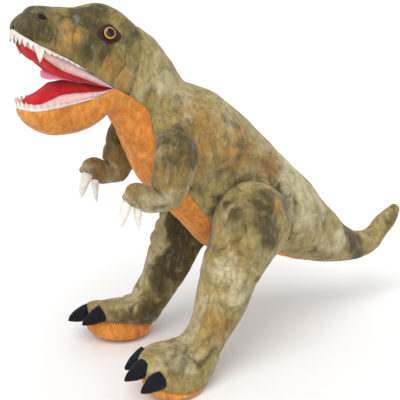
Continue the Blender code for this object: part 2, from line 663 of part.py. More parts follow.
def eye_profile():
    """Dome, flange and post of a safety eye, from the top of the dome to the end of the post."""
    radius = EYE_DIAMETER / 2
    steps = np.linspace(0.18, 1, 5) * QUARTER
    dome = [(eye_seat + 0.001 + EYE_RISE * math.cos(a), radius * math.sin(a)) for a in steps]
    flange = [(eye_seat, radius), (eye_seat, EYE_POST_RADIUS)]
    return dome + flange + [(-EYE_POST_LENGTH, EYE_POST_RADIUS)]


for side_name, side in (("left", -1), ("right", 1)):
    eye_angle = side * EYE_ANGLE
    eye_point, eye_normal, _, _ = frame_at(head_surface, EYE_STATION, eye_angle)
    finish("eye_" + side_name, *solid(turned_piece(eye_profile(), eye_point, eye_normal)), AMBER, neck, 0.1)
    hole = EYE_POST_RADIUS + POST_CLEARANCE
    washer_top = -SKIN - STUFFING_GAP / 2
    washer = [(washer_top, hole), (washer_top, WASHER_RADIUS)]
    washer += [(washer_top - WASHER_THICKNESS, WASHER_RADIUS), (washer_top - WASHER_THICKNESS, hole)]
    finish("eye_washer_" + side_name, *washer_solid(
        turned_piece(washer, eye_point, eye_normal)), WHITE, neck, 0.4)
    finish("eye_patch_" + side_name, *pad(
        head_surface, EYE_STATION, eye_angle, EYE_PATCH_HALF, FELT, PATCH_LIFT, hole=hole,
        pointed=1.4, turn=side * 0.25), BROWN, neck)
    cut(head_skin, cylinder_cutter("eye_hole_" + side_name, eye_point, eye_normal, hole, -0.008, 0.004))
    cut(head_stuffing, cylinder_cutter(
        "eye_pocket_" + side_name, eye_point, eye_normal, WASHER_RADIUS + 0.001,
        -EYE_POST_LENGTH - 0.001, 0.004))
    finish("brow_" + side_name, *pad(
        head_surface, BROW_STATION, side * BROW_ANGLE, BROW_HALF, 0.0015, PATCH_LIFT,
        crown=BROW_CROWN), DARK_OLIVE, neck)
    finish("nostril_" + side_name, *pad(
        head_surface, NOSTRIL_STATION, side * NOSTRIL_ANGLE, NOSTRIL_HALF, 0.001, PATCH_LIFT), BLACK, neck)

# ---- tail -----------------------------------------------------------------------------------
TAIL_PIVOT, TAIL_UP, TAIL_HALF_HEIGHT = tucked(TRUNK_LOWER[0], TRUNK_UPPER[0])
TAIL_LOW, TAIL_HIGH = TAIL_PIVOT - TAIL_UP * TAIL_HALF_HEIGHT, TAIL_PIVOT + TAIL_UP * TAIL_HALF_HEIGHT
TAIL_BACK = np.array([-TAIL_UP[1], TAIL_UP[0]])
tail = joint("tail_axis", (TAIL_PIVOT[0], 0, TAIL_PIVOT[1]))
# Middle of each further section as shares of the tail's length, its lean from upright in degrees,
# its half height and its half width.
TAIL_SECTIONS = (
    (0.215, -0.131, 30, 0.0430, 0.0400), (0.355, -0.206, 25, 0.0330, 0.0310),
    (0.565, -0.271, 11, 0.0240, 0.0220), (0.733, -0.243, -22, 0.0185, 0.0170),
    (0.841, -0.140, -43, 0.0155, 0.0140), (0.944, -0.056, -38, 0.0100, 0.0090),
    (0.991, -0.010, -38, 0.0026, 0.0026),
)
TAIL_LOWER, TAIL_UPPER = [TAIL_LOW], [TAIL_HIGH]
for back, rise, lean, half_height, _ in TAIL_SECTIONS:
    centre = TAIL_PIVOT + np.array([back, rise]) * TAIL_LENGTH
    up = np.array([math.sin(math.radians(lean)), math.cos(math.radians(lean))]) * half_height
    TAIL_LOWER.append(centre - up)
    TAIL_UPPER.append(centre + up)
TAIL_SIDES = [TAIL_HALF_WIDTH - TUCK_INSET] + [section[4] for section in TAIL_SECTIONS]
STRIP_SIDES = [PANEL_SIDES[0] * share for share in (1.0, 0.80, 0.62, 0.42, 0.20, 0.0, 0.0, 0.0)]
tail_surface = tube(TAIL_LOWER, TAIL_UPPER, TAIL_SIDES, tuck=(TAIL_BACK, TAIL_SIDES[0]))

tail_rows = np.concatenate([[-1, -0.5], np.linspace(0, 7, 13)])
tail_seam = np.maximum(panel_angle(tail_rows, TAIL_SIDES, STRIP_SIDES), 0)
tail_gap = seam_angle(tail_rows, TAIL_SIDES)
finish("tail_skin", *sheet(
    tail_surface, tail_rows,
    between(tail_seam + tail_gap, 2 * math.pi - tail_seam - tail_gap, 13)), OLIVE, tail)
STRIP_ROWS = 9
finish("tail_under_panel", *sheet(
    tail_surface, tail_rows[:STRIP_ROWS],
    between(-tail_seam + tail_gap, tail_seam - tail_gap, 4)[:STRIP_ROWS]), ORANGE, tail)
finish("tail_stuffing", *solid(offset(
    tail_surface, *grid_of(np.linspace(-0.85, 5.6, 8), full_ring(10)), SKIN + STUFFING_GAP)), WHITE, tail)


# ---- limbs ----------------------------------------------------------------------------------
def inner_limit(plane):
    """Keeps a limb's inner side flat against the trunk's seat (the limb is built on the -Y side)."""
    def limit(points):
        points = points.copy()
        points[..., 1] = np.minimum(points[..., 1], -plane)
        return points
    return limit


# Leg stations from the top of the thigh to the sole seam, relative to the hip axis:
# front x and z, back x and z, half width, y of front and back, sideways tip.
LEG_STATIONS = np.array([
    (0.021, 0.056, 0.037, 0.049, 0.008, -0.064, -0.064, 0.0),
    (-0.011, 0.058, 0.059, 0.024, 0.028, -0.068, -0.068, 0.0),
    (-0.038, 0.045, 0.065, -0.004, 0.038, -0.072, -0.072, 0.0),
    (-0.054, 0.020, 0.056, -0.033, 0.042, -0.074, -0.074, 0.0),
    (-0.065, -0.020, 0.025, -0.064, 0.042, -0.076, -0.076, 0.0),
    (-0.079, -0.057, -0.001, -0.087, 0.038, -0.080, -0.080, 0.0),
    (-0.089, -0.097, -0.019, -0.123, 0.034, -0.083, -0.083, 0.0),
    (-0.100, -0.134, -0.050, -0.162, 0.030, -0.086, -0.086, 0.0),
    (-0.119, -0.155, -0.068, -0.188, 0.030, -0.088, -0.088, 0.10),
    (-0.150, -0.157, -0.075, -0.203, 0.034, -0.094, -0.088, 0.24),
    (-0.186, -0.161, -0.081, -0.209, 0.037, -0.101, -0.089, 0.28),
    (-0.194, -0.186, -0.085, -0.213, 0.038, -0.103, -0.090, 0.30),
])
SOLE_STATIONS = np.array([
    (-0.1940, -0.1893, -0.0852, -0.2160, 0.0378, -0.103, -0.090, 0.30),
    (-0.1850, -0.2080, -0.0930, -0.2200, 0.0368, -0.101, -0.091, 0.10),
    (-0.1580, -0.2240, -0.1100, -0.2240, 0.0230, -0.099, -0.092, 0.0),
])


def limb_tube(stations, anchor, plane=None, heart=None):
    """The tube of a limb from stations that are relative to its joint's axis."""
    x, z = anchor
    front, back = stations[:, 0:2] + (x, z), stations[:, 2:4] + (x, z)
    limit = inner_limit(plane) if plane else None
    return tube(front, back, stations[:, 4], stations[:, 5:7], stations[:, 7], limit, heart=heart)


leg_surface = limb_tube(LEG_STATIONS, HIP, HIP_SEAT + LIMB_GAP)
leg_core = limb_tube(LEG_STATIONS, HIP, HIP_SEAT + LIMB_GAP + 2 * SKIN)
SOLE_HEART = (HIP[0] - 0.138, -0.096, HIP[1] - 0.180)  # inside the foot, above the sole
sole_surface = limb_tube(SOLE_STATIONS, HIP, heart=SOLE_HEART)
SOLE_EDGE = len(LEG_STATIONS) - 1
leg_rows = np.concatenate([np.linspace(0, 3, 5), np.linspace(4, SOLE_EDGE, 9)])
LEG_COLUMNS = 14

ARM_STATIONS = np.array([
    (0.002, 0.027, 0.014, 0.023, 0.006, -0.068, -0.068, 0.0),
    (-0.015, 0.019, 0.023, 0.007, 0.018, -0.072, -0.072, 0.0),
    (-0.026, 0.002, 0.022, -0.012, 0.022, -0.075, -0.075, 0.0),
    (-0.032, -0.022, 0.012, -0.036, 0.022, -0.079, -0.079, 0.0),
    (-0.036, -0.042, -0.001, -0.062, 0.020, -0.081, -0.081, 0.0),
    (-0.034, -0.049, -0.017, -0.081, 0.018, -0.080, -0.080, 0.0),
    (-0.041, -0.046, -0.043, -0.080, 0.016, -0.078, -0.078, 0.0),
    (-0.055, -0.040, -0.059, -0.071, 0.015, -0.076, -0.076, 0.0),
    (-0.067, -0.041, -0.071, -0.064, 0.011, -0.075, -0.075, 0.0),
    (-0.074, -0.050, -0.075, -0.057, 0.004, -0.075, -0.075, 0.0),
])
arm_surface = limb_tube(ARM_STATIONS, SHOULDER, SHOULDER_SEAT + LIMB_GAP)
arm_core = limb_tube(ARM_STATIONS, SHOULDER, SHOULDER_SEAT + LIMB_GAP + SKIN)
arm_rows = np.linspace(0, len(ARM_STATIONS) - 1, 12)


def add_leg(side_name, mirror):
    """One leg: cover, sole, stuffing and three toe claws, all on the hip joint."""
    sign = 1 if mirror else -1
    hip = joint("hip_axis_" + side_name, (HIP[0], sign * HIP_SEAT, HIP[1]))

    def place(name, shape, colour):
        return finish(name + "_" + side_name, *shape, colour, hip, mirror=mirror)

    place("leg_skin", sheet(
        leg_surface, leg_rows, full_ring(LEG_COLUMNS), wrap=True, capped=(True, False)), OLIVE)
    place("sole_panel", sheet(
        sole_surface, np.linspace(0, 2, 4), full_ring(LEG_COLUMNS), wrap=True, capped=(False, True)), ORANGE)
    place("leg_stuffing", solid(offset(
        leg_core, *grid_of(np.linspace(1.0, 10.2, 11), full_ring(10)), SKIN + LEG_STUFFING_GAP)), WHITE)
    for number, (station, angle, yaw, pitch) in enumerate(TOE_PLACES, 1):
        place(f"toe_claw_{number}", claw_on(
            leg_surface, station, math.radians(angle), yaw, pitch, TOE_CLAW, 0.10), NAVY)


# Station and angle on the cover, then yaw and pitch of each claw.
TOE_PLACES = (
    (10.50, 37, -0.04, 0.25), (10.50, 2, 0.14, 0.18), (10.50, -38, 0.26, 0.08),
)
HAND_PLACES = ((6.90, 165, 0.0, 1.50), (8.00, 155, 0.1, 1.15))


def add_arm(side_name, mirror):
    """One arm: cover, stuffing and two hand claws, all on the shoulder joint."""
    sign = 1 if mirror else -1
    shoulder = joint("shoulder_axis_" + side_name, (SHOULDER[0], sign * SHOULDER_SEAT, SHOULDER[1]))

    def place(name, shape, colour):
        return finish(name + "_" + side_name, *shape, colour, shoulder, mirror=mirror)

    place("arm_skin", sheet(arm_surface, arm_rows, full_ring(10), wrap=True, capped=(True, False)), BROWN)
    place("arm_stuffing", solid(offset(
        arm_core, *grid_of(np.linspace(0.8, 8.0, 9), full_ring(8)), SKIN + BENT_STUFFING_GAP)), WHITE)
    for number, (station, angle, yaw, pitch) in enumerate(HAND_PLACES, 1):
        place(f"hand_claw_{number}", claw_on(
            arm_surface, station, math.radians(angle), yaw, pitch, HAND_CLAW, 0.10), IVORY)


for side_name, mirrored in (("left", False), ("right", True)):
    add_leg(side_name, mirrored)
    add_arm(side_name, mirrored)

# ---- place the toy: its box is centred on x = 0 ----------------------------------------------
bpy.context.view_layer.update()
reach = [
    (obj.matrix_world @ Vector(corner)).x
    for obj in bpy.data.objects
    if obj.type == "MESH" and not obj.hide_render
    for corner in obj.bound_box
]
toy.location.x = -(min(reach) + max(reach)) / 2
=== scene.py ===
# %% [markdown]
# # A big stuffed dinosaur with an open felt mouth
# The toy is sewn from printed short-pile plush, with orange plush underneath, felt in the mouth
# and fibre stuffing inside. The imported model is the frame: it says where every joint and piece
# is, and each cover below is a finer surface put in the place of the plain solid under it.

# %% Load the frame
import json
import math

import bpy
import numpy as np
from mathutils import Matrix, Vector


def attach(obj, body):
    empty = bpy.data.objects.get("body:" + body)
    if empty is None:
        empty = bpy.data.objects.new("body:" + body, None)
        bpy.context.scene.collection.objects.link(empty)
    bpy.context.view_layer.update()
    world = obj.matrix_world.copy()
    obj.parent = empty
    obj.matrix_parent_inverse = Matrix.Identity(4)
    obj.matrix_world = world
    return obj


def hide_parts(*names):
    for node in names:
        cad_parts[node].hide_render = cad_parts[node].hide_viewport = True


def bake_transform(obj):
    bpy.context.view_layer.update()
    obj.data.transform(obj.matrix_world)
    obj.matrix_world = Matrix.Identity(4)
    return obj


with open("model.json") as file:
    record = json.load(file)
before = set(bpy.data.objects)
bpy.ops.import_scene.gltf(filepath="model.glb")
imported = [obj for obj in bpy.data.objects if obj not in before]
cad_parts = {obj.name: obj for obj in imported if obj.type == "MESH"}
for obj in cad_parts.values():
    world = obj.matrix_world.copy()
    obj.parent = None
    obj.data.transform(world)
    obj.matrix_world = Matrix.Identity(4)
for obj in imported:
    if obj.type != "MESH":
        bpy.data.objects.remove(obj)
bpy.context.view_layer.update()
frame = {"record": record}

JOINT = {joint["name"]: np.array(joint["pos_m"]) for joint in frame["record"]["behaviour"]["joints"]}
HIP, SHOULDER, JAW = (JOINT[name][[0, 2]] for name in ("hip_left", "shoulder_left", "jaw_open"))
HIP_SEAT, SHOULDER_SEAT = abs(JOINT["hip_left"][1]), abs(JOINT["shoulder_left"][1])
FINE = 1.0


def count(number):
    return int(number * FINE)


# %% [markdown]
# ## Tools for sewn and stuffed shapes
# A stuffed tube is a row of sections. Each section is an ellipse between a low and a high point,
# and a smooth curve carries the sections into each other. The same few numbers shape the trunk,
# the head and the limbs, so the pieces meet where they should.

# %% Smooth curves and tubes
def curve(stations, along):
    """Smooth curve through numbered stations (Catmull-Rom with straight ends), read at `along`:
    b + t((c-a)/2 + t(a - 2.5b + 2c - d/2 + t(1.5(b-c) + (d-a)/2))) between b and c."""
    s = np.asarray(stations, float)
    s = np.concatenate([2 * s[:1] - s[1:2], s, 2 * s[-1:] - s[-2:-1]])
    last = len(s) - 3
    along = np.clip(along, 0, last)
    first = np.minimum(along.astype(int), last - 1)
    t = (along - first)[(...,) + (None,) * (s.ndim - 1)]
    a, b, c, d = s[first], s[first + 1], s[first + 2], s[first + 3]
    return b + t * ((c - a) / 2 + t * (a - 2.5 * b + 2 * c - d / 2 + t * (1.5 * (b - c) + (d - a) / 2)))


def tube(lower, upper, half_width, middle=None, lift=None, limit=None):
    """Tube of ellipses: at angle a the point is low + (high - low)(1 - cos a)/2, with the y of the
    middle plus half_width sin a, and z raised by half_width sin a times lift. Angle 0 is the low
    point and +90 degrees is +Y. Returns a function giving each point and the point inside it."""
    lower, upper, half_width = np.array(lower), np.array(upper), np.array(half_width)
    zero = np.zeros(len(lower))
    middle = np.stack([zero, zero], 1) if middle is None else middle
    lift = zero if lift is None else lift

    def surface(along, around):
        """The point at a station along and an angle around, and the middle of its section."""
        along, around = np.broadcast_arrays(np.asarray(along, float), np.asarray(around, float))
        low, high, y = curve(lower, along), curve(upper, along), curve(middle, along)
        side, share = curve(half_width, along) * np.sin(around), (1 - np.cos(around)) / 2
        points = np.stack([
            low[..., 0] + (high - low)[..., 0] * share,
            y[..., 0] + (y[..., 1] - y[..., 0]) * share + side,
            low[..., 1] + (high - low)[..., 1] * share + side * curve(lift, along),
        ], -1)
        core = np.stack([(low + high)[..., 0] / 2, y.mean(-1), (low + high)[..., 1] / 2], -1)
        return (limit(points) if limit else points), core

    return surface


# %% Normals, lengths and gentle unevenness
def unit(vectors):
    """Vectors divided by their length."""
    return vectors / np.maximum(np.linalg.norm(vectors, axis=-1, keepdims=True), 1e-12)


def grid_normals(points, core, wrap=False):
    """Cross product of the differences down and across the grid, all turned away from the core."""
    down = np.gradient(points, axis=0)
    across = np.roll(points, -1, 1) - np.roll(points, 1, 1) if wrap else np.gradient(points, axis=1)
    normal = unit(np.cross(down, across))
    outward = np.sign((normal * (points - core)).sum())
    return normal * (outward or 1.0)


def run_length(points, axis):
    """Length along the grid from its first row or column: running sum of the steps."""
    steps = np.linalg.norm(np.diff(points, axis=axis), axis=-1)
    start = np.zeros_like(np.take(steps, [0], axis=axis))
    return np.concatenate([start, np.cumsum(steps, axis=axis)], axis=axis)


def from_ends(length, axis):
    """Distance to the nearer end of a grid along an axis, from its running length."""
    return np.minimum(length, np.take(length, [-1], axis=axis) - length)


WAVES = 9
WAVE_GAIN = 1.8  # widens the mean of the waves, which stays small


def wobble(points, wave=0.05, seed=3):
    """Unevenness, mostly from -1 to 1: WAVE_GAIN times the mean of WAVES sine waves of position,
    each with its own direction and a wavelength near `wave`."""
    draw = np.random.default_rng(seed)
    direction = unit(draw.normal(size=(WAVES, 3)))
    direction = direction * (2 * math.pi / (wave * draw.uniform(0.7, 1.5, (WAVES, 1))))
    return np.sin(points @ direction.T + draw.uniform(0, 6.28, WAVES)).mean(-1) * WAVE_GAIN


def step(value, low, high):
    """Smooth step from 0 at low to 1 at high: s*s*(3 - 2s)."""
    share = np.clip((value - low) / (high - low), 0, 1)
    return share * share * (3 - 2 * share)


def crowded(number, power):
    """Shares from 0 to 1 that crowd together towards 1: 1 - (1 - s)^power for even s."""
    return 1 - (1 - np.linspace(0, 1, number)) ** power


# %% [markdown]
# ## Lines and patches that belong to a place
# Creases, printed cracks and colour patches sit at certain places of the side view. They are
# listed as (x, z) in millimetres and fall on both sides of the toy, because such a toy is cut
# from mirrored pairs of panels.

# %% Nearness to lines and to patches
def near_lines(points, lines, width):
    """exp(-(d/width)^2), d being the side-view distance to the nearest piece of any line."""
    flat = points[..., [0, 2]]
    best = np.zeros(flat.shape[:-1])
    for line in lines:
        knots = curve(np.array(line) / 1000, np.linspace(0, len(line) - 1, 4 * len(line)))
        for start, end in zip(knots[:-1], knots[1:]):
            run = end - start
            share = np.clip((flat - start) @ run / max(run @ run, 1e-12), 0, 1)
            away = np.linalg.norm(flat - start - share[..., None] * run, axis=-1)
            best = np.maximum(best, np.exp(-(away / width) ** 2))
    return best


def near_spots(points, spots):
    """1.2 times the sum of exp(-(d/1.25r)^2) over spots (x, z, r) in millimetres, at most 1."""
    spots = np.array(spots) / 1000
    away = np.hypot(points[..., :1] - spots[:, 0], points[..., 2:] - spots[:, 1])
    return np.clip(1.2 * np.exp(-(away / (1.25 * spots[:, 2])) ** 2).sum(-1), 0, 1)


OCHRE_SPOTS = [
    (-281, 498, 12), (-247, 507, 13), (-265, 502, 10), (-292, 490, 8), (-227, 462, 13), (-213, 449, 11),
    (-102, 370, 22), (-45, 334, 26), (-9, 255, 18), (-126, 345, 18), (-104, 100, 13), (20, 300, 20),
]
# Most dark spots are print; the two at (-73, 249) and (-24, 263) sit on the crease between thigh and belly
# and are painted shade there.
DARK_DYE_AND_SHADE_SPOTS = [
    (-256, 526, 14), (-247, 482, 12), (-236, 531, 12), (-323, 529, 18), (-225, 518, 14), (-73, 249, 15),
    (-24, 263, 18), (-228, 505, 13), (-20, 215, 16), (30, 250, 14), (204, 161, 14), (217, 132, 14),
    (228, 97, 12), (-185, 505, 9), (-305, 512, 10),
]
PALE_SPOTS = [
    (73, 238, 30), (113, 215, 24), (53, 273, 28), (-88, 178, 18), (-71, 144, 13), (-79, 127, 10),
    (-150, 430, 16), (-120, 395, 14), (260, 170, 20), (175, 150, 16), (-165, 70, 14),
]
FACE_CRACKS = [
    ((-296, 492), (-294, 502), (-289, 510)), ((-274, 491), (-271, 502), (-264, 513)),
    ((-257, 474), (-256, 482), (-252, 488)), ((-239, 461), (-236, 471), (-230, 476)),
    ((-219, 449), (-213, 456), (-209, 462)), ((-206, 462), (-207, 472), (-203, 481)),
    ((-194, 451), (-188, 460)), ((-229, 495), (-227, 483), (-226, 475)),
    ((-215, 492), (-207, 489), (-199, 491)), ((-194, 506), (-190, 495), (-194, 487), (-204, 483)),
    ((-310, 505), (-307, 515), (-300, 522)), ((-285, 520), (-276, 524), (-266, 522)),
]
NECK_CREASES = [
    ((-162, 396), (-149, 412), (-139, 422)), ((-140, 372), (-125, 391), (-109, 399)),
    ((-184, 398), (-176, 408), (-172, 420)),
]
FLANK_CREASES = [
    ((-122, 287), (-101, 301), (-68, 305)), ((-129, 294), (-110, 286), (-87, 267)),
    ((60, 250), (68, 228), (70, 205)), ((95, 222), (104, 204), (106, 184)),
]
TAIL_CREASES = [
    ((196, 152), (206, 132), (205, 112)), ((232, 128), (236, 110), (232, 92)),
    ((160, 178), (168, 160), (166, 140)), ((268, 150), (262, 134), (256, 122)),
]
LEG_CREASES = [
    ((-118, 206), (-96, 196), (-74, 176)), ((-122, 190), (-108, 182), (-92, 166)),
    ((-121, 152), (-98, 146), (-76, 128)), ((-70, 262), (-86, 240), (-88, 218)),
    ((-22, 168), (-44, 150), (-62, 142)), ((-138, 66), (-118, 60), (-102, 46)),
]
LEG_SEAMS = [((-122, 118), (-149, 98), (-168, 80)), ((-175, 77), (-153, 60), (-132, 33))]
ARM_CREASES = [
    ((-186, 330), (-172, 322), (-156, 322)), ((-184, 300), (-168, 292), (-152, 296)),
    ((-190, 276), (-178, 268), (-166, 268)),
]
print("dye spots", len(OCHRE_SPOTS + DARK_DYE_AND_SHADE_SPOTS + PALE_SPOTS), "printed cracks", len(FACE_CRACKS))

# %% [markdown]
# ## From a grid to a piece of the toy
# Every cover is a grid of points. An open edge is folded inwards as a hem, so that no light
# shows between two covers. A closed end becomes a single point. The piece gets its finish, hides
# the solids of the frame that it takes the place of, and may hang on a body that it moves with.

# %% Build a piece from a grid
HEM = 0.004


def folded(points, normal, marks, rows, columns):
    """Adds a hem at the chosen ends: the edge row or column moved inwards by HEM."""
    for axis, ends in ((0, rows), (1, columns)):
        for at_end, wanted in enumerate(ends):
            if wanted:
                edge = np.take(points - HEM * normal, [-at_end], axis=axis)
                turn = np.take(normal, [-at_end], axis=axis)
                parts = [points, edge] if at_end else [edge, points]
                turns = [normal, turn] if at_end else [turn, normal]
                points, normal = np.concatenate(parts, axis), np.concatenate(turns, axis)
                width = [(0, 0), (0, 0)]
                width[axis] = (0, 1) if at_end else (1, 0)
                marks = {name: np.pad(mark, width, mode="edge") for name, mark in marks.items()}
    return points, normal, marks


def piece(name, points, core, finish, wrap=False, poles=(False, False), rows=(False, False),
          columns=(False, False), marks=None, normal=None):
    """A mesh object from a grid. `poles` closes an end to a point, and `rows` and `columns` say
    which ends get a hem. `marks` are point attributes that the finish reads."""
    normal = grid_normals(points, core, wrap) if normal is None else normal
    across = np.roll(points, -1, 1) - points if wrap else np.gradient(points, axis=1)
    outward = (np.cross(np.gradient(points, axis=0), across) * normal).sum() > 0
    points, normal, marks = folded(points, normal, marks or {}, rows, columns)
    number = np.arange(points[..., 0].size).reshape(points.shape[:2])
    for end, pole in zip((0, -1), poles):
        if pole:
            number[end] = number[end, 0]
    if wrap:
        number = np.concatenate([number, number[:, :1]], 1)
    corners = np.stack([number[:-1, :-1], number[:-1, 1:], number[1:, 1:], number[1:, :-1]], -1)
    corners = corners.reshape(-1, 4)[:, ::-1 if outward else 1]
    used, corners = np.unique(corners, return_inverse=True)
    faces = [list(dict.fromkeys(face)) for face in corners.reshape(-1, 4).tolist()]
    mesh = bpy.data.meshes.new(name)
    mesh.from_pydata(points.reshape(-1, 3)[used].tolist(), [], [face for face in faces if len(face) > 2])
    for mark, values in marks.items():
        attribute = mesh.attributes.new(mark, "FLOAT", "POINT")
        attribute.data.foreach_set("value", values.reshape(-1)[used].astype(np.float32))
    mesh.shade_smooth()
    mesh.normals_split_custom_set_from_vertices(unit(normal.reshape(-1, 3)[used]).tolist())
    mesh.materials.append(finish)
    obj = bpy.data.objects.new(name, mesh)
    bpy.context.collection.objects.link(obj)
    return obj


def place(obj, slot, nodes, body=None):
    """Hides the frame nodes that the piece takes the place of, and makes it ride on this body if given.
    The slot is not used.
    """
    if nodes:
        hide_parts(*nodes)
    if body:
        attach(obj, body)
    print(obj.name, len(obj.data.vertices), "points")
    return obj


def closing_rows(ring, direction, height, number):
    """Rows that close a ring to a point as part of a ball: centre + (ring - centre) cos a +
    direction * height * sin a, from the point back to the ring."""
    angle = np.linspace(math.pi / 2, 0, number, endpoint=False)[:, None, None]
    centre = ring.mean(0)
    return centre + (ring - centre) * np.cos(angle) + unit(direction) * height * np.sin(angle)


# %% [markdown]
# ## Finishes
# Short-pile plush is a knit with a dense nap about 1.5 mm high: it looks matt with a soft pale
# edge, and the nap clumps and leans. The print under the nap is soft clouds of olive, ochre,
# brown and grey-blue. Effects that several finishes share are node groups.

# %% Node helpers
def paint(red, green, blue):
    """A colour on the usual 0 to 255 scale as linear values: ((c + .055)/1.055)^2.4."""
    return tuple(((value / 255 + 0.055) / 1.055) ** 2.4 for value in (red, green, blue)) + (1.0,)


def node(tree, kind, inputs=None, **settings):
    """One node with its settings. An input is a value, or a socket to link to."""
    made = tree.nodes.new(kind)
    for key, value in settings.items():
        setattr(made, key, value)
    for key, value in (inputs or {}).items():
        if isinstance(value, bpy.types.NodeSocket):
            tree.links.new(value, made.inputs[key])
        else:
            made.inputs[key].default_value = value
    return made


def mix(tree, share, first, second, how="MIX"):
    """Mix of two colours."""
    inputs = {0: share, 6: first, 7: second}
    return node(tree, "ShaderNodeMix", inputs, data_type="RGBA", blend_type=how).outputs[2]


def maths(tree, operation, first, second=0.5):
    """One sum worked out on two values."""
    return node(tree, "ShaderNodeMath", {0: first, 1: second}, operation=operation).outputs[0]


def ranged(tree, value, low, high, to_low=0.0, to_high=1.0):
    """A value taken from one range to another, with smooth ends."""
    inputs = {0: value, 1: low, 2: high, 3: to_low, 4: to_high}
    return node(tree, "ShaderNodeMapRange", inputs, interpolation_type="SMOOTHSTEP").outputs[0]


def noise(tree, place_in, scale, detail=2.0, rough=0.5, bend=0.0):
    """Soft noise over a place. A larger scale makes smaller clouds."""
    inputs = {"Vector": place_in, "Scale": scale, "Detail": detail, "Roughness": rough, "Distortion": bend}
    return node(tree, "ShaderNodeTexNoise", inputs).outputs[0]


def group(name, inputs, outputs):
    """An empty node group with named sockets, and its input and output nodes."""
    tree = bpy.data.node_groups.new(name, "ShaderNodeTree")
    for direction, sockets in (("INPUT", inputs), ("OUTPUT", outputs)):
        for title, kind in sockets:
            tree.interface.new_socket(title, in_out=direction, socket_type="NodeSocket" + kind)
    return tree, tree.nodes.new("NodeGroupInput"), tree.nodes.new("NodeGroupOutput")


# %% Pile: fibres and leaning clumps
NAP_STRETCH = (1.0, 1.0, 0.45)  # draws the noise out upwards, as the nap is brushed
pile, given, result = group(
    "short_pile", [("Place", "Vector"), ("Fibre", "Float"), ("Clump", "Float")],
    [("Height", "Float"), ("Shade", "Float")])
lean = node(pile, "ShaderNodeVectorMath", {0: given.outputs["Place"], 1: NAP_STRETCH}, operation="MULTIPLY")
fibres = noise(pile, lean.outputs[0], given.outputs["Fibre"], 2.0, 0.6)
clumps = noise(pile, lean.outputs[0], given.outputs["Clump"], 3.0, 0.65, 0.4)
pile.links.new(maths(pile, "ADD", maths(pile, "MULTIPLY", fibres, 0.55), clumps), result.inputs["Height"])
shade = maths(pile, "ADD", maths(pile, "MULTIPLY", fibres, 0.35), clumps)
pile.links.new(ranged(pile, shade, 0.48, 0.88, 0.74, 1.16), result.inputs["Shade"])

# %% Print: soft clouds of dye, and painted shade through the dark dye
cloud, given, result = group(
    "printed_cloud",
    [("Place", "Vector"), ("Ground", "Color"), ("Warm", "Float"), ("Dark", "Float"), ("Pale", "Float")],
    [("Colour", "Color")])
spot = given.outputs["Place"]


def cloud_mask(scale, low, high, mark, bend=0.8):
    """Where a dye shows: soft noise, more of it where the mark is strong; the dark mark also holds painted
    shade.
    """
    soft = noise(cloud, spot, scale, 3.0, 0.55, bend)
    return ranged(cloud, maths(cloud, "ADD", soft, maths(cloud, "MULTIPLY", mark, 0.30)), low, high)


# Each dye has a name, the scale of its clouds, the noise where it starts and is full, and a colour.
DYES = (
    ("Pale", 24.0, 0.48, 0.80, paint(186, 174, 136)),
    ("Warm", 17.0, 0.50, 0.96, paint(168, 126, 64)),
    ("Dark", 27.0, 0.47, 0.80, paint(80, 70, 42)))
STREAK_STRETCH = (1.0, 1.0, 0.35)
tint = given.outputs["Ground"]
for dye_name, cloud_scale, starts, full, dye_colour in DYES:
    tint = mix(cloud, cloud_mask(cloud_scale, starts, full, given.outputs[dye_name]), tint, dye_colour)
stretch = node(cloud, "ShaderNodeVectorMath", {0: spot, 1: STREAK_STRETCH}, operation="MULTIPLY")
streaks = ranged(cloud, noise(cloud, stretch.outputs[0], 95.0, 3.0, 0.6, 0.6), 0.55, 0.78, 0.0, 0.55)
tint = mix(cloud, streaks, tint, paint(150, 158, 146))
flecks = ranged(cloud, noise(cloud, stretch.outputs[0], 60.0, 4.0, 0.65, 0.5), 0.50, 0.72, 0.0, 0.55)
cloud.links.new(mix(cloud, flecks, tint, paint(112, 88, 48)), result.inputs["Colour"])

# %% Embossed scales: short curved wrinkles pressed into the nap
scales, given, result = group(
    "pressed_scales", [("Place", "Vector"), ("Scale", "Float"), ("Cover", "Float")], [("Dent", "Float")])
spot = given.outputs["Place"]
NET_BEND = (0.012, 0.012, 0.012)  # metres that the net of scales is bent by
bent = node(scales, "ShaderNodeTexNoise", {"Vector": spot, "Scale": 42.0, "Detail": 2.0}).outputs[1]
shift = node(scales, "ShaderNodeVectorMath", {0: bent, 1: NET_BEND, 2: spot}, operation="MULTIPLY_ADD")
edges = node(scales, "ShaderNodeTexVoronoi", {"Vector": shift.outputs[0], "Scale": given.outputs["Scale"]},
             feature="DISTANCE_TO_EDGE").outputs[0]
lines = ranged(scales, edges, 0.0, 0.16, 1.0, 0.0)
shown = ranged(scales, noise(scales, spot, 58.0, 2.0, 0.5), 0.48, 0.62)
dent = maths(scales, "MULTIPLY", maths(scales, "MULTIPLY", lines, shown), given.outputs["Cover"])
scales.links.new(dent, result.inputs["Dent"])

# %% Felt: pressed fibres in every direction
felting, given, result = group(
    "felt_fibres", [("Place", "Vector"), ("Scale", "Float")], [("Height", "Float"), ("Shade", "Float")])
spot = given.outputs["Place"]
hair = noise(felting, spot, given.outputs["Scale"], 4.0, 0.7, 1.4)
felting.links.new(hair, result.inputs["Height"])
felting.links.new(ranged(felting, hair, 0.35, 0.68, 0.84, 1.08), result.inputs["Shade"])
print("shared effects", [shared.name for shared in bpy.data.node_groups])


# %% Make the finishes
def blank(name):
    """A new material's tree, its shader, and its object coordinates."""
    material = bpy.data.materials.new(name)
    material.use_nodes = True
    tree = material.node_tree
    shader = tree.nodes["Principled BSDF"]
    spot = tree.nodes.new("ShaderNodeTexCoord").outputs["Object"]
    return material, tree, shader, spot


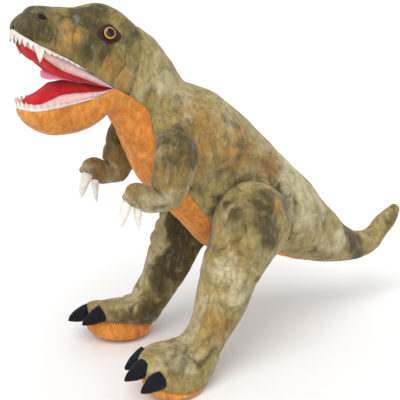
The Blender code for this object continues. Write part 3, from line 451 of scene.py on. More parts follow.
def dull(shader, roughness, sheen=0.0, tint=(1, 1, 1, 1), soft=0.45):
    """Constant values of a cloth finish, set on the shader itself."""
    shader.inputs["Roughness"].default_value = roughness
    shader.inputs["Specular IOR Level"].default_value = 0.25
    shader.inputs["Sheen Weight"].default_value = sheen
    shader.inputs["Sheen Roughness"].default_value = soft
    shader.inputs["Sheen Tint"].default_value = tint


def mark(tree, name):
    """One of a piece's own point attributes."""
    return node(tree, "ShaderNodeAttribute", attribute_name=name).outputs["Fac"]


def shaded(tree, colour, *values):
    """A colour multiplied by grey values."""
    for value in values:
        grey = node(tree, "ShaderNodeCombineColor", {0: value, 1: value, 2: value}).outputs[0]
        colour = mix(tree, 1.0, colour, grey, "MULTIPLY")
    return colour


def bumped(tree, shader, height, distance, strength=1.0):
    """A height that tilts the light on a finish, `distance` metres from its low to its high."""
    bump = node(tree, "ShaderNodeBump", {"Height": height, "Distance": distance, "Strength": strength})
    tree.links.new(bump.outputs[0], shader.inputs["Normal"])


FIBRE_SCALE, CLUMP_SCALE, NET_SCALE = 620.0, 150.0, 118.0
NAP_DEPTH, DENT_DEPTH = 0.0011, 1.1
SEAM_SHADE, DENT_SHADE = 0.80, 0.86


def plush(name, ground, printed=True, scale_cover=0.0, sheen=0.25, deep=None):
    """Short-pile plush. `ground` is the cloth's main colour, and `deep` a darker one in patches."""
    material, tree, shader, spot = blank(name)
    nap = node(tree, "ShaderNodeGroup", node_tree=pile)
    for key, value in (("Fibre", FIBRE_SCALE), ("Clump", CLUMP_SCALE)):
        nap.inputs[key].default_value = value
    tree.links.new(spot, nap.inputs["Place"])
    if printed:
        dye = node(tree, "ShaderNodeGroup", node_tree=cloud)
        tree.links.new(spot, dye.inputs["Place"])
        dye.inputs["Ground"].default_value = ground
        # The dark mark carries painted shade as well as dark print: the thigh-belly crease and the legs'
        # inner sides.
        for key in ("Warm", "Dark", "Pale"):
            tree.links.new(mark(tree, key.lower()), dye.inputs[key])
        colour = dye.outputs["Colour"]
    else:
        patches = ranged(tree, noise(tree, spot, 26.0, 3.0, 0.6, 0.6), 0.38, 0.66)
        colour = mix(tree, patches, ground, deep)
    colour = mix(tree, mark(tree, "cracks"), colour, paint(58, 50, 34))
    # Near a seam the colour is darkened by SEAM_SHADE: painted shade in the seam groove.
    seam = ranged(tree, mark(tree, "seam"), 0.0, 1.0, 1.0, SEAM_SHADE)
    press = node(tree, "ShaderNodeGroup", node_tree=scales)
    tree.links.new(spot, press.inputs["Place"])
    press.inputs["Scale"].default_value = NET_SCALE
    press.inputs["Cover"].default_value = scale_cover
    dents = ranged(tree, press.outputs["Dent"], 0.0, 1.0, 1.0, DENT_SHADE)
    tree.links.new(shaded(tree, colour, nap.outputs["Shade"], seam, dents), shader.inputs["Base Color"])
    dent_height = maths(tree, "MULTIPLY", press.outputs["Dent"], DENT_DEPTH)
    height = maths(tree, "SUBTRACT", nap.outputs["Height"], dent_height)
    bumped(tree, shader, height, NAP_DEPTH, 0.9)
    dull(shader, 0.92, sheen, (0.95, 0.92, 0.80, 1))
    return material


def felt(name, first, second, sheen=0.15, scale=420.0, roughness=0.95):
    """Pressed felt: two near colours in soft patches, and fine fibres."""
    material, tree, shader, spot = blank(name)
    fluff = node(tree, "ShaderNodeGroup", node_tree=felting)
    tree.links.new(spot, fluff.inputs["Place"])
    fluff.inputs["Scale"].default_value = scale
    patches = ranged(tree, noise(tree, spot, 70.0, 3.0, 0.6, 0.5), 0.36, 0.66)
    # Near a seam the felt is darkened to 0.72: painted shade where it is sewn.
    seam = ranged(tree, mark(tree, "seam"), 0.0, 1.0, 1.0, 0.72)
    colour = shaded(tree, mix(tree, patches, first, second), fluff.outputs["Shade"], seam)
    tree.links.new(colour, shader.inputs["Base Color"])
    bumped(tree, shader, fluff.outputs["Height"], 0.0006, 0.8)
    dull(shader, roughness, sheen)
    return material


PRINT = plush("printed_plush_nap", paint(156, 138, 86), scale_cover=0.75)
HEAD_PRINT = plush("printed_plush_of_head", paint(136, 120, 70), scale_cover=0.3, sheen=0.18)
ARM_PRINT = plush("brown_plush_nap", paint(138, 114, 68), scale_cover=0.5)
ORANGE = plush("orange_plush_nap", paint(222, 146, 66), False, 0.35, 0.22, paint(206, 126, 52))
NAVY = plush("navy_plush_nap", paint(24, 23, 32), False, 0.0, 0.06, paint(16, 15, 22))
RED = felt("red_felt_fibres", paint(208, 36, 42), paint(184, 26, 34))
GUM = felt("pink_felt_fibres", paint(238, 200, 196), paint(228, 184, 182))
TONGUE = felt("tongue_felt_fibres", paint(246, 158, 186), paint(240, 140, 172))
TOOTH = felt("tooth_felt_fibres", paint(240, 230, 220), paint(230, 218, 206))
PATCH = felt("patch_felt_fibres", paint(66, 44, 38), paint(50, 34, 30))
BLACK = felt("black_felt_fibres", paint(24, 22, 20), paint(16, 15, 14))
print("finishes", len(bpy.data.materials))

# %% Claw satin and the eye
CLAW, tree, shader, spot = blank("claw_satin_weave")
threads = node(tree, "ShaderNodeTexWave", {"Vector": spot, "Scale": 420.0, "Distortion": 1.2, "Detail": 2.0})
soft = ranged(tree, noise(tree, spot, 120.0), 0.35, 0.65)
tree.links.new(mix(tree, soft, paint(243, 239, 230), paint(226, 218, 204)), shader.inputs["Base Color"])
bumped(tree, shader, threads.outputs["Fac"], 0.0002, 0.5)
dull(shader, 0.38, 0.3)
shader.inputs["Specular IOR Level"].default_value = 0.6

EYE, tree, shader, spot = blank("eye_plastic_gloss")
ring = node(tree, "ShaderNodeValToRGB", {0: mark(tree, "from_middle")})
for position, colour in ((0.0, paint(6, 5, 5)), (0.56, paint(6, 5, 5)), (0.62, paint(70, 40, 16)),
                         (0.74, paint(168, 98, 26)), (0.84, paint(242, 168, 58)), (0.93, paint(20, 14, 10))):
    spare = ring.color_ramp.elements
    stop = spare[0] if position == 0.0 else spare.new(position)
    stop.color = colour
ring.color_ramp.elements[-1].color = paint(10, 8, 7)
grain = ranged(tree, noise(tree, spot, 900.0), 0.3, 0.7, 0.85, 1.1)
tree.links.new(shaded(tree, ring.outputs[0], grain), shader.inputs["Base Color"])
tree.links.new(ranged(tree, noise(tree, spot, 300.0), 0.3, 0.7, 0.04, 0.09), shader.inputs["Roughness"])
shader.inputs["Specular IOR Level"].default_value = 0.30
shader.inputs["Coat Weight"].default_value = 0.25
shader.inputs["Coat Roughness"].default_value = 0.03

# %% [markdown]
# ## Stuffed relief
# Stuffing pushes a cover out between its seams, and the thread pulls it in along them. So each
# cover is moved along its normal: out by PUFF away from a seam, and in by GROOVE at the seam.

# %% Relief of a stuffed cover
PUFF, REACH, GROOVE, GROOVE_WIDTH = 0.0016, 0.016, 0.0017, 0.0028


def stuffed(points, core, seam, wrap=False, uneven=0.0010, crease=0.0, keep=1.0):
    """points + normal * keep * (PUFF(1 - exp(-(d/REACH)^2)) - GROOVE exp(-(d/GROOVE_WIDTH)^2) +
    uneven * (long waves + 0.45 short waves) - crease), d being the distance to the nearest seam.
    The waves fade out within 10 mm of a seam."""
    normal = grid_normals(points, core, wrap)
    puff = PUFF * (1 - np.exp(-(seam / REACH) ** 2)) - GROOVE * np.exp(-(seam / GROOVE_WIDTH) ** 2)
    waves = uneven * (wobble(points) + 0.45 * wobble(points, 0.018, 8)) * step(seam, 0, 0.01)
    points = points + normal * ((puff + waves - crease) * keep)[..., None]
    return points, grid_normals(points, core, wrap)


def dye_and_shade_marks(points, normal, seam, cracks=(), brown=0.0):
    """The marks a plush finish reads: nearness to a seam, for painted shade along the seams,
    warm, dark and pale patches, and printed cracks.
    """
    sideways = step(np.abs(normal[..., 1]), 0.1, 0.55)
    drawn = near_lines(points, cracks, 0.0010) * sideways if len(cracks) else 0 * seam
    return {
        "seam": np.exp(-(seam / 0.0022) ** 2),
        "warm": near_spots(points, OCHRE_SPOTS) * sideways,
        "dark": np.clip(near_spots(points, DARK_DYE_AND_SHADE_SPOTS) * sideways + brown, 0, 1),
        "pale": near_spots(points, PALE_SPOTS) * sideways,
        "cracks": drawn * 0.7,
    }


# %% [markdown]
# ## Body: tail, trunk and neck in one run
# On the real toy the printed side panels run from the tail to the neck, and an orange strip runs
# underneath. One tube carries all of it, so the fabric has no step at the joints. It is then cut
# into the parts that move: the tail bends from the trunk, and the neck bends towards the head.

# %% Stations of the body
PITCH, TRUNK_LENGTH, TRUNK_DEPTH = math.radians(40.6), 0.362, 0.176
FORWARD = np.array([-math.cos(PITCH), math.sin(PITCH)])
BACKWARD_UP = np.array([math.sin(PITCH), math.cos(PITCH)])
TRUNK_MIDDLE = HIP + (-0.008, 0.016)
HEAD_LENGTH, HEAD_HEIGHT = 0.122, 0.106


def on_trunk(along, up):
    """Trunk middle + along * length * forward + up * depth * backward-up."""
    return TRUNK_MIDDLE + along * TRUNK_LENGTH * FORWARD + up * TRUNK_DEPTH * BACKWARD_UP


def on_head(forward, up):
    """Jaw axis + shares of the head's length forwards and of its height upwards."""
    return np.array([JAW[0] - forward * HEAD_LENGTH, JAW[1] + up * HEAD_HEIGHT])


TRUNK_LOWER = [on_trunk(*p) for p in (
    (-0.476, -0.043), (-0.358, -0.117), (-0.111, -0.380), (0.142, -0.332),
    (0.351, -0.267), (0.502, -0.130), (0.580, -0.050))]
TRUNK_UPPER = [on_trunk(*p) for p in (
    (-0.435, 0.580), (-0.313, 0.620), (-0.079, 0.640), (0.105, 0.661),
    (0.316, 0.662), (0.445, 0.570), (0.502, 0.567))]
HEAD_HALF = 0.048
NECK_END_LOW, NECK_END_HIGH = JAW + (0.004, -0.0405), on_head(-0.360, 0.726)
TAIL_PIVOT = JOINT["tail_swing"][[0, 2]]
TAIL_LENGTH = 0.214
# A tail station is its way back and up as shares of the length, its tilt in degrees, half its
# depth and half its width. They are listed from the root and then turned to start at the tip.
TAIL = np.array([
    (0.215, -0.131, 30, 0.0430, 0.0400), (0.355, -0.206, 25, 0.0330, 0.0310),
    (0.565, -0.271, 11, 0.0240, 0.0220), (0.733, -0.243, -22, 0.0185, 0.0170),
    (0.841, -0.140, -43, 0.0165, 0.0150), (0.926, -0.072, -38, 0.0130, 0.0118),
    (0.972, -0.030, -36, 0.0092, 0.0085)])[::-1]
tail_middle = TAIL_PIVOT + TAIL[:, :2] * TAIL_LENGTH
tail_up = np.stack([np.sin(np.radians(TAIL[:, 2])), np.cos(np.radians(TAIL[:, 2]))], 1) * TAIL[:, 3:4]
share = np.array([0.34, 0.68])[:, None]
neck_low = TRUNK_LOWER[-1] * (1 - share) + NECK_END_LOW * share + (-0.0010, 0.0)
neck_high = TRUNK_UPPER[-1] * (1 - share) + NECK_END_HIGH * share + (0.006, 0.001)
BODY_LOWER = np.concatenate([tail_middle - tail_up, TRUNK_LOWER, neck_low, [NECK_END_LOW]])
BODY_UPPER = np.concatenate([tail_middle + tail_up, TRUNK_UPPER, neck_high, [NECK_END_HIGH]])
TAIL_HALF, TRUNK_HALF, NECK_HALF = 0.050, 0.074, 0.049
TAIL_STRIP_HALF, BELLY_HALF = 0.020, 0.054
THROAT_ANGLE = math.radians(62)  # from the low point of the neck's end to the corner of the mouth
BODY_SIDES = np.concatenate([
    TAIL[:, 4], [TAIL_HALF], TRUNK_HALF * np.array([0.84, 0.97, 1.00, 0.93, 0.82]),
    [NECK_HALF, 0.0475, 0.048, HEAD_HALF]])
PANEL_SIDES = np.concatenate([
    TAIL_STRIP_HALF * np.array([0, 0, 0, 0.20, 0.42, 0.62, 0.80]),
    BELLY_HALF * np.array([0.37, 0.50, 0.74, 0.94, 1.00, 0.93, 0.84]),
    [0.0443, 0.0432, HEAD_HALF * math.sin(THROAT_ANGLE)]])
HIP_SEAT_RADIUS, SHOULDER_SEAT_RADIUS, SEAT_SLOPE = 0.090, 0.052, 0.9
TAIL_ROOT, NECK_ROOT, BODY_END = 7, 13, 16


def seat_limit(points):
    """Keeps the trunk's sides inside the flat seats of the thighs and the upper arms."""
    bound = np.full(points.shape[:-1], np.inf)
    seats = ((HIP, HIP_SEAT_RADIUS, HIP_SEAT), (SHOULDER, SHOULDER_SEAT_RADIUS, SHOULDER_SEAT))
    for (x, z), radius, plane in seats:
        away = np.hypot(points[..., 0] - x, points[..., 2] - z) - radius
        bound = np.minimum(bound, plane + SEAT_SLOPE * np.clip(away, 0, None))
    points = points.copy()
    points[..., 1] = np.clip(points[..., 1], -bound, bound)
    return points


body_surface = tube(BODY_LOWER, BODY_UPPER, BODY_SIDES, limit=seat_limit)

# %% The body's grid and its relief
SIDE_COLUMNS, UNDER_COLUMNS = count(170), count(48)
TAIL_ROWS, TRUNK_ROWS, NECK_ROWS = count(170), count(190), count(56)
body_rows = np.concatenate([
    np.linspace(0, TAIL_ROOT, TAIL_ROWS), np.linspace(TAIL_ROOT, NECK_ROOT, TRUNK_ROWS)[1:],
    np.linspace(NECK_ROOT, BODY_END, NECK_ROWS)[1:]])
panel_share = np.clip(curve(PANEL_SIDES, body_rows) / curve(BODY_SIDES, body_rows), 0, 0.95)
seam_angle = np.arcsin(panel_share)[:, None]
side_share, under_share = np.linspace(0, 1, SIDE_COLUMNS), np.linspace(0, 1, UNDER_COLUMNS + 2)[1:-1]
around = np.concatenate([
    seam_angle + (2 * math.pi - 2 * seam_angle) * side_share,
    2 * math.pi - seam_angle + 2 * seam_angle * under_share], 1)
body, body_core = body_surface(body_rows[:, None], around)
last = SIDE_COLUMNS - 1
side_seam = from_ends(run_length(body[:, :SIDE_COLUMNS], 1), 1)
under = np.concatenate([body[:, last:], body[:, :1]], 1)
under_seam = from_ends(run_length(under, 1), 1)
body_seam = np.concatenate([side_seam, under_seam[:, 1:-1]], 1)
to_head = run_length(body[::-1], 0)[::-1]
body_seam[:, :SIDE_COLUMNS] = np.minimum(side_seam, to_head[:, :SIDE_COLUMNS])
flank = step(np.abs(body[..., 1]), 0.012, 0.034)
BODY_CREASE_DEPTH, BODY_CREASE_WIDTH = 0.0024, 0.0046
creases = near_lines(body, NECK_CREASES + FLANK_CREASES + TAIL_CREASES, BODY_CREASE_WIDTH)
body_crease = BODY_CREASE_DEPTH * creases * flank
body, body_normal = stuffed(body, body_core, body_seam, True, 0.0011, body_crease)
body_marks = dye_and_shade_marks(body, body_normal, body_seam)
print("body grid", body.shape)


# %% Cut the body into its covers
def cut(rows, under_part):
    """Rows of the body as a side cover or as the strip underneath, with core, normals, marks."""
    chosen = slice(*rows)

    def columns(grid):
        """The columns of one part: those under the body, or those on its sides."""
        if under_part:
            return np.concatenate([grid[chosen, last:], grid[chosen, :1]], 1)
        return grid[chosen, :SIDE_COLUMNS]

    marks = {name: columns(values) for name, values in body_marks.items()}
    return columns(body), columns(body_core), columns(body_normal), marks


tail_end, trunk_end = TAIL_ROWS, TAIL_ROWS + TRUNK_ROWS - 1
strip_start = int(np.argmax(seam_angle[:, 0] > 0.03))
cross = TRUNK_UPPER[-1] - TRUNK_LOWER[-1]
neck_away = unit(np.array([-cross[1], 0.0, cross[0]]))


def bend_tail(obj):
    """Bakes the placement of one of the tail's covers into its points."""
    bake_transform(obj)


def bend_neck(obj):
    """Bakes the placement of one of the neck's covers into its points."""
    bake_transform(obj)


def body_cover(name, rows, under_part, nodes, hems=(False, False), body_name=None, bend=None):
    """One cover of the body, orange underneath and printed elsewhere. It rides on a body, or `bend` bakes its
    placement into its points.
    """
    points, core, normal, marks = cut(rows, under_part)
    finish, slot = (ORANGE, "orange_plush") if under_part else (PRINT, "printed_plush")
    made = piece(name, points, core, finish, columns=(True, True), rows=hems, marks=marks, normal=normal)
    place(made, slot, nodes, body_name)
    if bend:
        bend(made)


# %% Tail cover with its round tip
TIP_ROWS, TIP_HEIGHT = 12, 0.0075
points, core, normal, marks = cut((0, tail_end), False)
tip = closing_rows(points[0], points[0].mean(0) - points[3].mean(0), TIP_HEIGHT, TIP_ROWS)
tip_core = np.repeat(core[:1], TIP_ROWS, 0)
points, core = np.concatenate([tip, points]), np.concatenate([tip_core, core])
normal = np.concatenate([unit(tip - tip_core[:1] + 1e-9), normal])
marks = {name: np.concatenate([np.repeat(values[:1], TIP_ROWS, 0), values]) for name, values in marks.items()}
tail_cover = piece(
    "tail_cover", points, core, PRINT, poles=(True, False), columns=(True, True), marks=marks, normal=normal)
place(tail_cover, "printed_plush", ["tail_skin", "tail_stuffing"])
bend_tail(tail_cover)

# %% The other covers of the body
tail_part, trunk_part, neck_part = (strip_start, tail_end), (tail_end - 1, trunk_end), (trunk_end - 1, None)
body_cover("tail_strip", tail_part, True, ["tail_under_panel"], (True, False), bend=bend_tail)
body_cover("trunk_cover", trunk_part, False, ["torso_skin", "torso_stuffing"], body_name="torso")
body_cover("belly_cover", trunk_part, True, ["belly_panel"], body_name="torso")
body_cover("neck_cover", neck_part, False, ["neck_skin", "neck_stuffing"], (False, True), bend=bend_neck)
body_cover("throat_cover", neck_part, True, ["throat_panel"], (False, True), bend=bend_neck)

# %% [markdown]
# ## Head
# The head cover arches over the mouth, from the neck seam to the nose, and its rim is the upper
# lip. A darker panel closes the nose. The printed cracks curl up from the lip.

# %% Head cover and nose
HEAD_MIDDLE = np.array([(NECK_END_LOW + NECK_END_HIGH) / 2] + [on_head(*p) for p in (
    (0.033, 0.245), (0.311, 0.275), (0.574, 0.435), (0.820, 0.595), (0.951, 0.690), (0.992, 0.745))])
HEAD_TOP = np.array([NECK_END_HIGH] + [on_head(*p) for p in (
    (0.000, 0.980), (0.328, 0.950), (0.557, 0.962), (0.787, 0.995), (0.934, 0.870), (0.985, 0.790))])
HEAD_SIDES = HEAD_HALF * np.array([1.00, 0.97, 0.87, 0.80, 0.76, 0.54, 0.08])
RIM_ANGLES = np.radians([62, 72, 86, 88, 88, 88, 88])
NOSE_SEAM, NOSE_TIP = 4.45, 6
CRACK_DEPTH, CRACK_WIDTH = 0.0007, 0.0020
LIP_TUCK, LIP_TUCK_WIDTH = 0.0010, 0.002
head_surface = tube(2 * HEAD_MIDDLE - HEAD_TOP, HEAD_TOP, HEAD_SIDES)

head_rows = np.concatenate([
    np.linspace(0, NOSE_SEAM, count(150)),
    NOSE_SEAM + (NOSE_TIP - NOSE_SEAM) * crowded(count(50), 1.6)[1:]])
rim = curve(RIM_ANGLES, head_rows)[:, None]
head, head_core = head_surface(head_rows[:, None], rim + (2 * math.pi - 2 * rim) * side_share)
nose_row = count(150)
lengths = run_length(head, 0)
head_seam = np.minimum(lengths, np.abs(lengths - lengths[nose_row - 1:nose_row]))
lip = from_ends(run_length(head, 1), 1)
fade = step(lengths[-1:] - lengths, 0.0, 0.006)
cheeks = step(np.abs(head[..., 1]), 0.01, 0.02)
head_crease = CRACK_DEPTH * near_lines(head, FACE_CRACKS, CRACK_WIDTH) * cheeks
head_crease += LIP_TUCK * np.exp(-(lip / LIP_TUCK_WIDTH) ** 2)
head, head_normal = stuffed(head, head_core, head_seam, False, 0.0009, head_crease, fade)
nose_shade = step(-head[..., 0], 0.292, 0.326) * step(head[..., 2], 0.488, 0.522)
head_marks = dye_and_shade_marks(head, head_normal, head_seam, FACE_CRACKS, 1.5 * nose_shade)
head_marks["dark"] = head_marks["dark"] + 0.8 * nose_shade
# Half the painted seam shade on the head.
head_marks["seam"] = 0.5 * head_marks["seam"]
for name, rows, slot, nodes in (
        ("head_cover", slice(None, nose_row), "printed_plush", ["head_skin", "head_stuffing"]),
        ("nose_cover", slice(nose_row - 1, None), "dark_plush", ["nose_panel"])):
    made = piece(name, head[rows], head_core[rows], HEAD_PRINT, rows=(True, True), columns=(True, True),
                 marks={key: values[rows] for key, values in head_marks.items()}, normal=head_normal[rows])
    place(made, slot, nodes, "head")

# %% [markdown]
# ## Lower jaw
# The orange jaw cover starts at the end of the throat, runs up to the corners of the mouth and
# forward to the chin. It is a net of sections: each row is half an ellipse below the lower lip.

# %% Jaw cover
jaw_turn = np.linspace(-1, 1, UNDER_COLUMNS + 2)
JAW_RIM = np.array([on_head(*p) for p in (
    (0.036, 0.012), (0.213, -0.066), (0.443, -0.122), (0.689, -0.170), (0.885, -0.198),
    (0.988, -0.198), (1.000, -0.198))])
JAW_DEPTH, JAW_HALF = 0.038, 0.040
JAW_DROP = JAW_DEPTH * np.array([1.00, 1.20, 1.21, 1.05, 0.62, 0.18, 0.02])
JAW_SIDES = JAW_HALF * np.array([1.11, 1.02, 0.98, 0.93, 0.76, 0.22, 0.03])
half_turn = jaw_turn * math.pi / 2
ends = body_surface(np.full(len(jaw_turn), float(BODY_END)), THROAT_ANGLE * jaw_turn)[0]
sections = np.stack([
    np.broadcast_to(JAW_RIM[:, :1], (7, len(jaw_turn))), JAW_SIDES[:, None] * np.sin(half_turn),
    JAW_RIM[:, 1:] - JAW_DROP[:, None] * np.cos(half_turn)], -1)
jaw_net = np.concatenate([ends[None], sections])
jaw_rows = np.concatenate([np.linspace(0, 1, count(24)), 1 + 6 * crowded(count(120), 1.35)[1:]])
jaw = curve(jaw_net, jaw_rows)
corner = head_surface(np.clip(jaw_rows, 0, 1), curve(RIM_ANGLES, np.clip(jaw_rows, 0, 1)))[0]
pull = (corner - jaw[:, -1]) * np.where(jaw_rows > 1, 0, 1)[:, None]
mirror = np.where(jaw_turn < 0, -1.0, 1.0)[:, None] * np.array([0, 1.0, 0]) + np.array([1.0, 0, 1.0])
jaw = jaw + pull[:, None] * mirror * (np.abs(jaw_turn) ** 5)[None, :, None]
jaw_core = np.stack([jaw[..., 0], 0 * jaw[..., 0], np.repeat(jaw[:, :1, 2], len(jaw_turn), 1)], -1)
jaw_lengths = run_length(jaw, 0)
jaw_seam = jaw_lengths + 0.02
lip = from_ends(run_length(jaw, 1), 1)
jaw, jaw_normal = stuffed(
    jaw, jaw_core, jaw_seam, False, 0.0009, LIP_TUCK * np.exp(-(lip / LIP_TUCK_WIDTH) ** 2),
    step(jaw_lengths[-1:] - jaw_lengths, 0.0, 0.006))
jaw_cover = piece("jaw_cover", jaw, jaw_core, ORANGE, rows=(True, True), columns=(True, True),
                  marks=dye_and_shade_marks(jaw, jaw_normal, jaw_seam), normal=jaw_normal)
place(jaw_cover, "orange_plush", ["jaw_skin", "jaw_stuffing"])
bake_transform(jaw_cover)

# %% [markdown]
# ## Inside the mouth
# Each jaw has a pale pink felt gum along its lip and a padded red lining inside it. Both are
# one fan of lines from the lip to the mouth's middle line, cut where gum and lining are sewn.

# %% Lips as outlines, and the fan inside them
def outline(points):
    """Even points along a lip: arc length resampled to a fixed number of steps."""
    length = run_length(points[:, None], 0)[:, 0]
    even = np.linspace(0, length[-1], count(150))
    return np.stack([np.interp(even, length, points[:, k]) for k in range(3)], -1), even


def lip_fan(lip_points, middle_x, middle_z, room, start, end, columns, band, hang):
    """Sheet from the lip to the middle line on both sides. For a lip point O the middle point M is
    at x = max(O.x, front + room), and a point at distance share k is O + k(M - O) in plan, with
    z = O.z + (M.z - O.z)(1 - (1 - k)^1.8) + hang * band * min(distance/band, 1) * (1 - k)^0.5.
    start and end are distances from the lip where the sheet begins and ends."""
    front = lip_points[:, 0].min()
    x = np.maximum(lip_points[:, 0], front + room)
    middle = np.stack([x, 0 * x, np.interp(-x, -np.array(middle_x), middle_z)], -1)
    reach = np.maximum(np.linalg.norm((middle - lip_points)[:, :2], axis=-1), 1e-4)[:, None]
    begin = np.clip(start / reach, 0, 1)
    share = begin + (np.clip(end / reach, 0, 1) - begin) * columns
    plan = lip_points[:, None] + share[..., None] * (middle - lip_points)[:, None]
    plan[..., 2] = lip_points[:, None, 2] + (middle - lip_points)[:, None, 2] * (1 - (1 - share) ** 1.8)
    plan[..., 2] += hang * band * np.clip(share * reach / np.maximum(band, 1e-4), 0, 1) * np.sqrt(1 - share)
    return plan, share * reach


GUM_START = 0.0008  # the gum begins this far inside the lip
PAST_MIDDLE = 9.0  # a distance from the lip that is always past the middle line
MOUTH_ROOM = 0.020  # from the front of a lip to the front end of the middle line


def mouth_pieces(name, lip_points, middle_x, middle_z, room, gum_width, hang, body_name, nodes):
    """The gum on both sides as one band, and the lining, both facing the mouth."""
    lip_points, run = outline(lip_points)
    band = np.interp(run / run[-1], *zip(*gum_width))[:, None]
    flip = np.array([1.0, -1.0, 1.0])
    gum_share, red_share = np.linspace(0, 1, count(14)), np.linspace(0, 1, count(44))
    upward = hang > 0
    gum, away = lip_fan(lip_points, middle_x, middle_z, room, GUM_START, band, gum_share, band, hang)
    gum_seam = np.minimum(away - GUM_START, band - away)
    gum = np.concatenate([gum * flip, gum[::-1][1:]])
    gum_seam = np.concatenate([gum_seam, gum_seam[::-1][1:]])
    far = gum * [1, 0.7, 1] + np.array([0.02, 0.0, -0.05 if upward else 0.05])
    lift = 0.0014 * step(gum_seam, 0, 0.003) - 0.0004
    normal = grid_normals(gum, far)
    gum = gum + normal * lift[..., None]
    # The seam mark darkens both sewn edges of the gum: painted shade.
    made = piece(name + "_gum_band", gum, far, GUM, rows=(True, True), columns=(True, True),
                 marks={"seam": np.exp(-(gum_seam / 0.0012) ** 2)})
    place(made, "pink_felt", [nodes[0]], body_name)
    red, away = lip_fan(lip_points, middle_x, middle_z, room, band, PAST_MIDDLE, red_share, band, hang)
    red_seam = away - band
    red = np.concatenate([red, red[:, ::-1][:, 1:] * flip], 1)
    red_seam = np.concatenate([red_seam, red_seam[:, ::-1][:, 1:]], 1)
    far = red + np.array([0.0, 0.0, -0.05 if upward else 0.05])
    normal = grid_normals(red, far)
    red = red + normal * (0.0012 * step(red_seam, 0, 0.006) - 0.0008 + 0.0007 * wobble(red, 0.02))[..., None]
    # The seam mark darkens the lining where it meets the gum: painted shade.
    made = piece(name + "_lining", red, far, RED, columns=(True, True), rows=(True, False),
                 marks={"seam": np.exp(-(red_seam / 0.0014) ** 2)})
    place(made, "red_felt", [nodes[1]], body_name)
    return lip_points, run


# The middle line of each lining is (x, z) from the back of the mouth to the front. Gum widths are
# given along the lip as (share of its length, width).
PALATE_X = (-0.2195, -0.245, -0.2785, -0.2975, -0.3135)
PALATE_Z = (0.4325, 0.439, 0.449, 0.459, 0.474)
UPPER_GUM_WIDTH = ((0, 0.001), (0.15, 0.004), (0.5, 0.0062), (0.72, 0.0045), (1, 0.0025))
FLOOR_X = (-0.2190, -0.240, -0.2700, -0.2925, -0.3155)
FLOOR_Z = (0.4320, 0.436, 0.441, 0.438, 0.424)
LOWER_GUM_WIDTH = ((0, 0.001), (0.2, 0.007), (0.5, 0.010), (0.8, 0.007), (1, 0.004))
UPPER_HANG, LOWER_HANG = -1.95, 0.35  # how steeply each gum leaves its lip, downwards if negative
upper_stations = 1 + 5 * crowded(300, 1.5)
upper_lip = head_surface(upper_stations, curve(RIM_ANGLES, upper_stations))[0]
upper_lip, upper_run = mouth_pieces(
    "upper", upper_lip, PALATE_X, PALATE_Z, MOUTH_ROOM, UPPER_GUM_WIDTH, UPPER_HANG,
    "head", ("upper_gum", "palate_lining"))
lower_stations = 1 + 6 * crowded(300, 1.5)
lower_lip = curve(jaw_net[:, -1], lower_stations)
lower_lip, lower_run = mouth_pieces(
    "lower", lower_lip, FLOOR_X, FLOOR_Z, MOUTH_ROOM, LOWER_GUM_WIDTH, LOWER_HANG,
    "jaw", ("lower_gum", "mouth_floor_lining"))

# %% [markdown]
# ## Felt teeth
# The teeth are one strip of stiff felt per jaw, cut into points and sewn into the lip seam. In
# front they stand straight, with one big pointed canine on each side. Further back they become
# low scallops that turn outwards over the lip.

# %% Tooth strips
STRIP_EDGE = 0.0042
TOOTH_STEPS = 6


def tooth_height(s, teeth):
    """Height of the cut edge at distance s from the front: the tallest of the teeth there, each
    H(1 - |2(s - c)/w|^p) for centre c, width w, height H and shape p. Between the teeth the strip
    keeps STRIP_EDGE, which fades out at the back."""
    centre, width, height, shape = (np.array(column)[:, None] for column in zip(*teeth))
    each = height * (1 - np.clip(np.abs(2 * (s - centre) / width), 0, 1) ** shape)
    return np.maximum(each.max(0), STRIP_EDGE * (1 - step(s, 0.100, 0.112)))


def tooth_strip(name, lip_points, run, teeth, downward, lean_knots, body_name, node_name):
    """Strip that leaves the lip at a lean from straight that grows along each tooth's height."""
    fine = np.linspace(0, run[-1], count(560))
    half = np.stack([np.interp(fine, run, lip_points[:, k]) for k in range(3)], -1)
    from_front = run[-1] - fine
    path = np.concatenate([half * [1, -1, 1], half[::-1][1:]])
    s = np.concatenate([from_front, from_front[::-1][1:]])
    tangent = unit(np.gradient(path, axis=0))
    outward = unit(np.cross(tangent, [0, 0, 1.0]))
    outward *= np.sign((outward * (path - np.array([JAW[0], 0, JAW[1]]))).sum(-1, keepdims=True))
    height = tooth_height(s, teeth) * step(run[-1] - s, 0.016, 0.034)
    lean = np.radians(np.interp(s, *zip(*lean_knots)))
    share = np.linspace(0, 1, TOOTH_STEPS + 1)
    angle = lean[:, None] * (0.35 + 0.9 * share)
    run_out = np.cumsum(np.sin(angle), 1) - np.sin(angle[:, :1])
    run_down = np.cumsum(np.cos(angle), 1) - np.cos(angle[:, :1])
    size = (height[:, None] / TOOTH_STEPS)[..., None]
    up = np.array([0, 0, -1.0 if downward else 1.0])
    points = path[:, None] + size * (run_out[..., None] * outward[:, None] + run_down[..., None] * up)
    points += outward[:, None] * 0.0006
    # The seam mark darkens the foot of each tooth, where it is sewn into the lip: painted shade.
    seam = np.exp(-(share * height[:, None] / 0.001) ** 2)
    obj = piece(name, points, points - outward[:, None], TOOTH, marks={"seam": seam})
    obj.data.attributes.remove(obj.data.attributes["custom_normal"])
    thick = obj.modifiers.new("felt_thickness", "SOLIDIFY")
    thick.thickness, thick.offset = 0.0013, 0.0
    place(obj, "tooth_felt", [node_name], body_name)


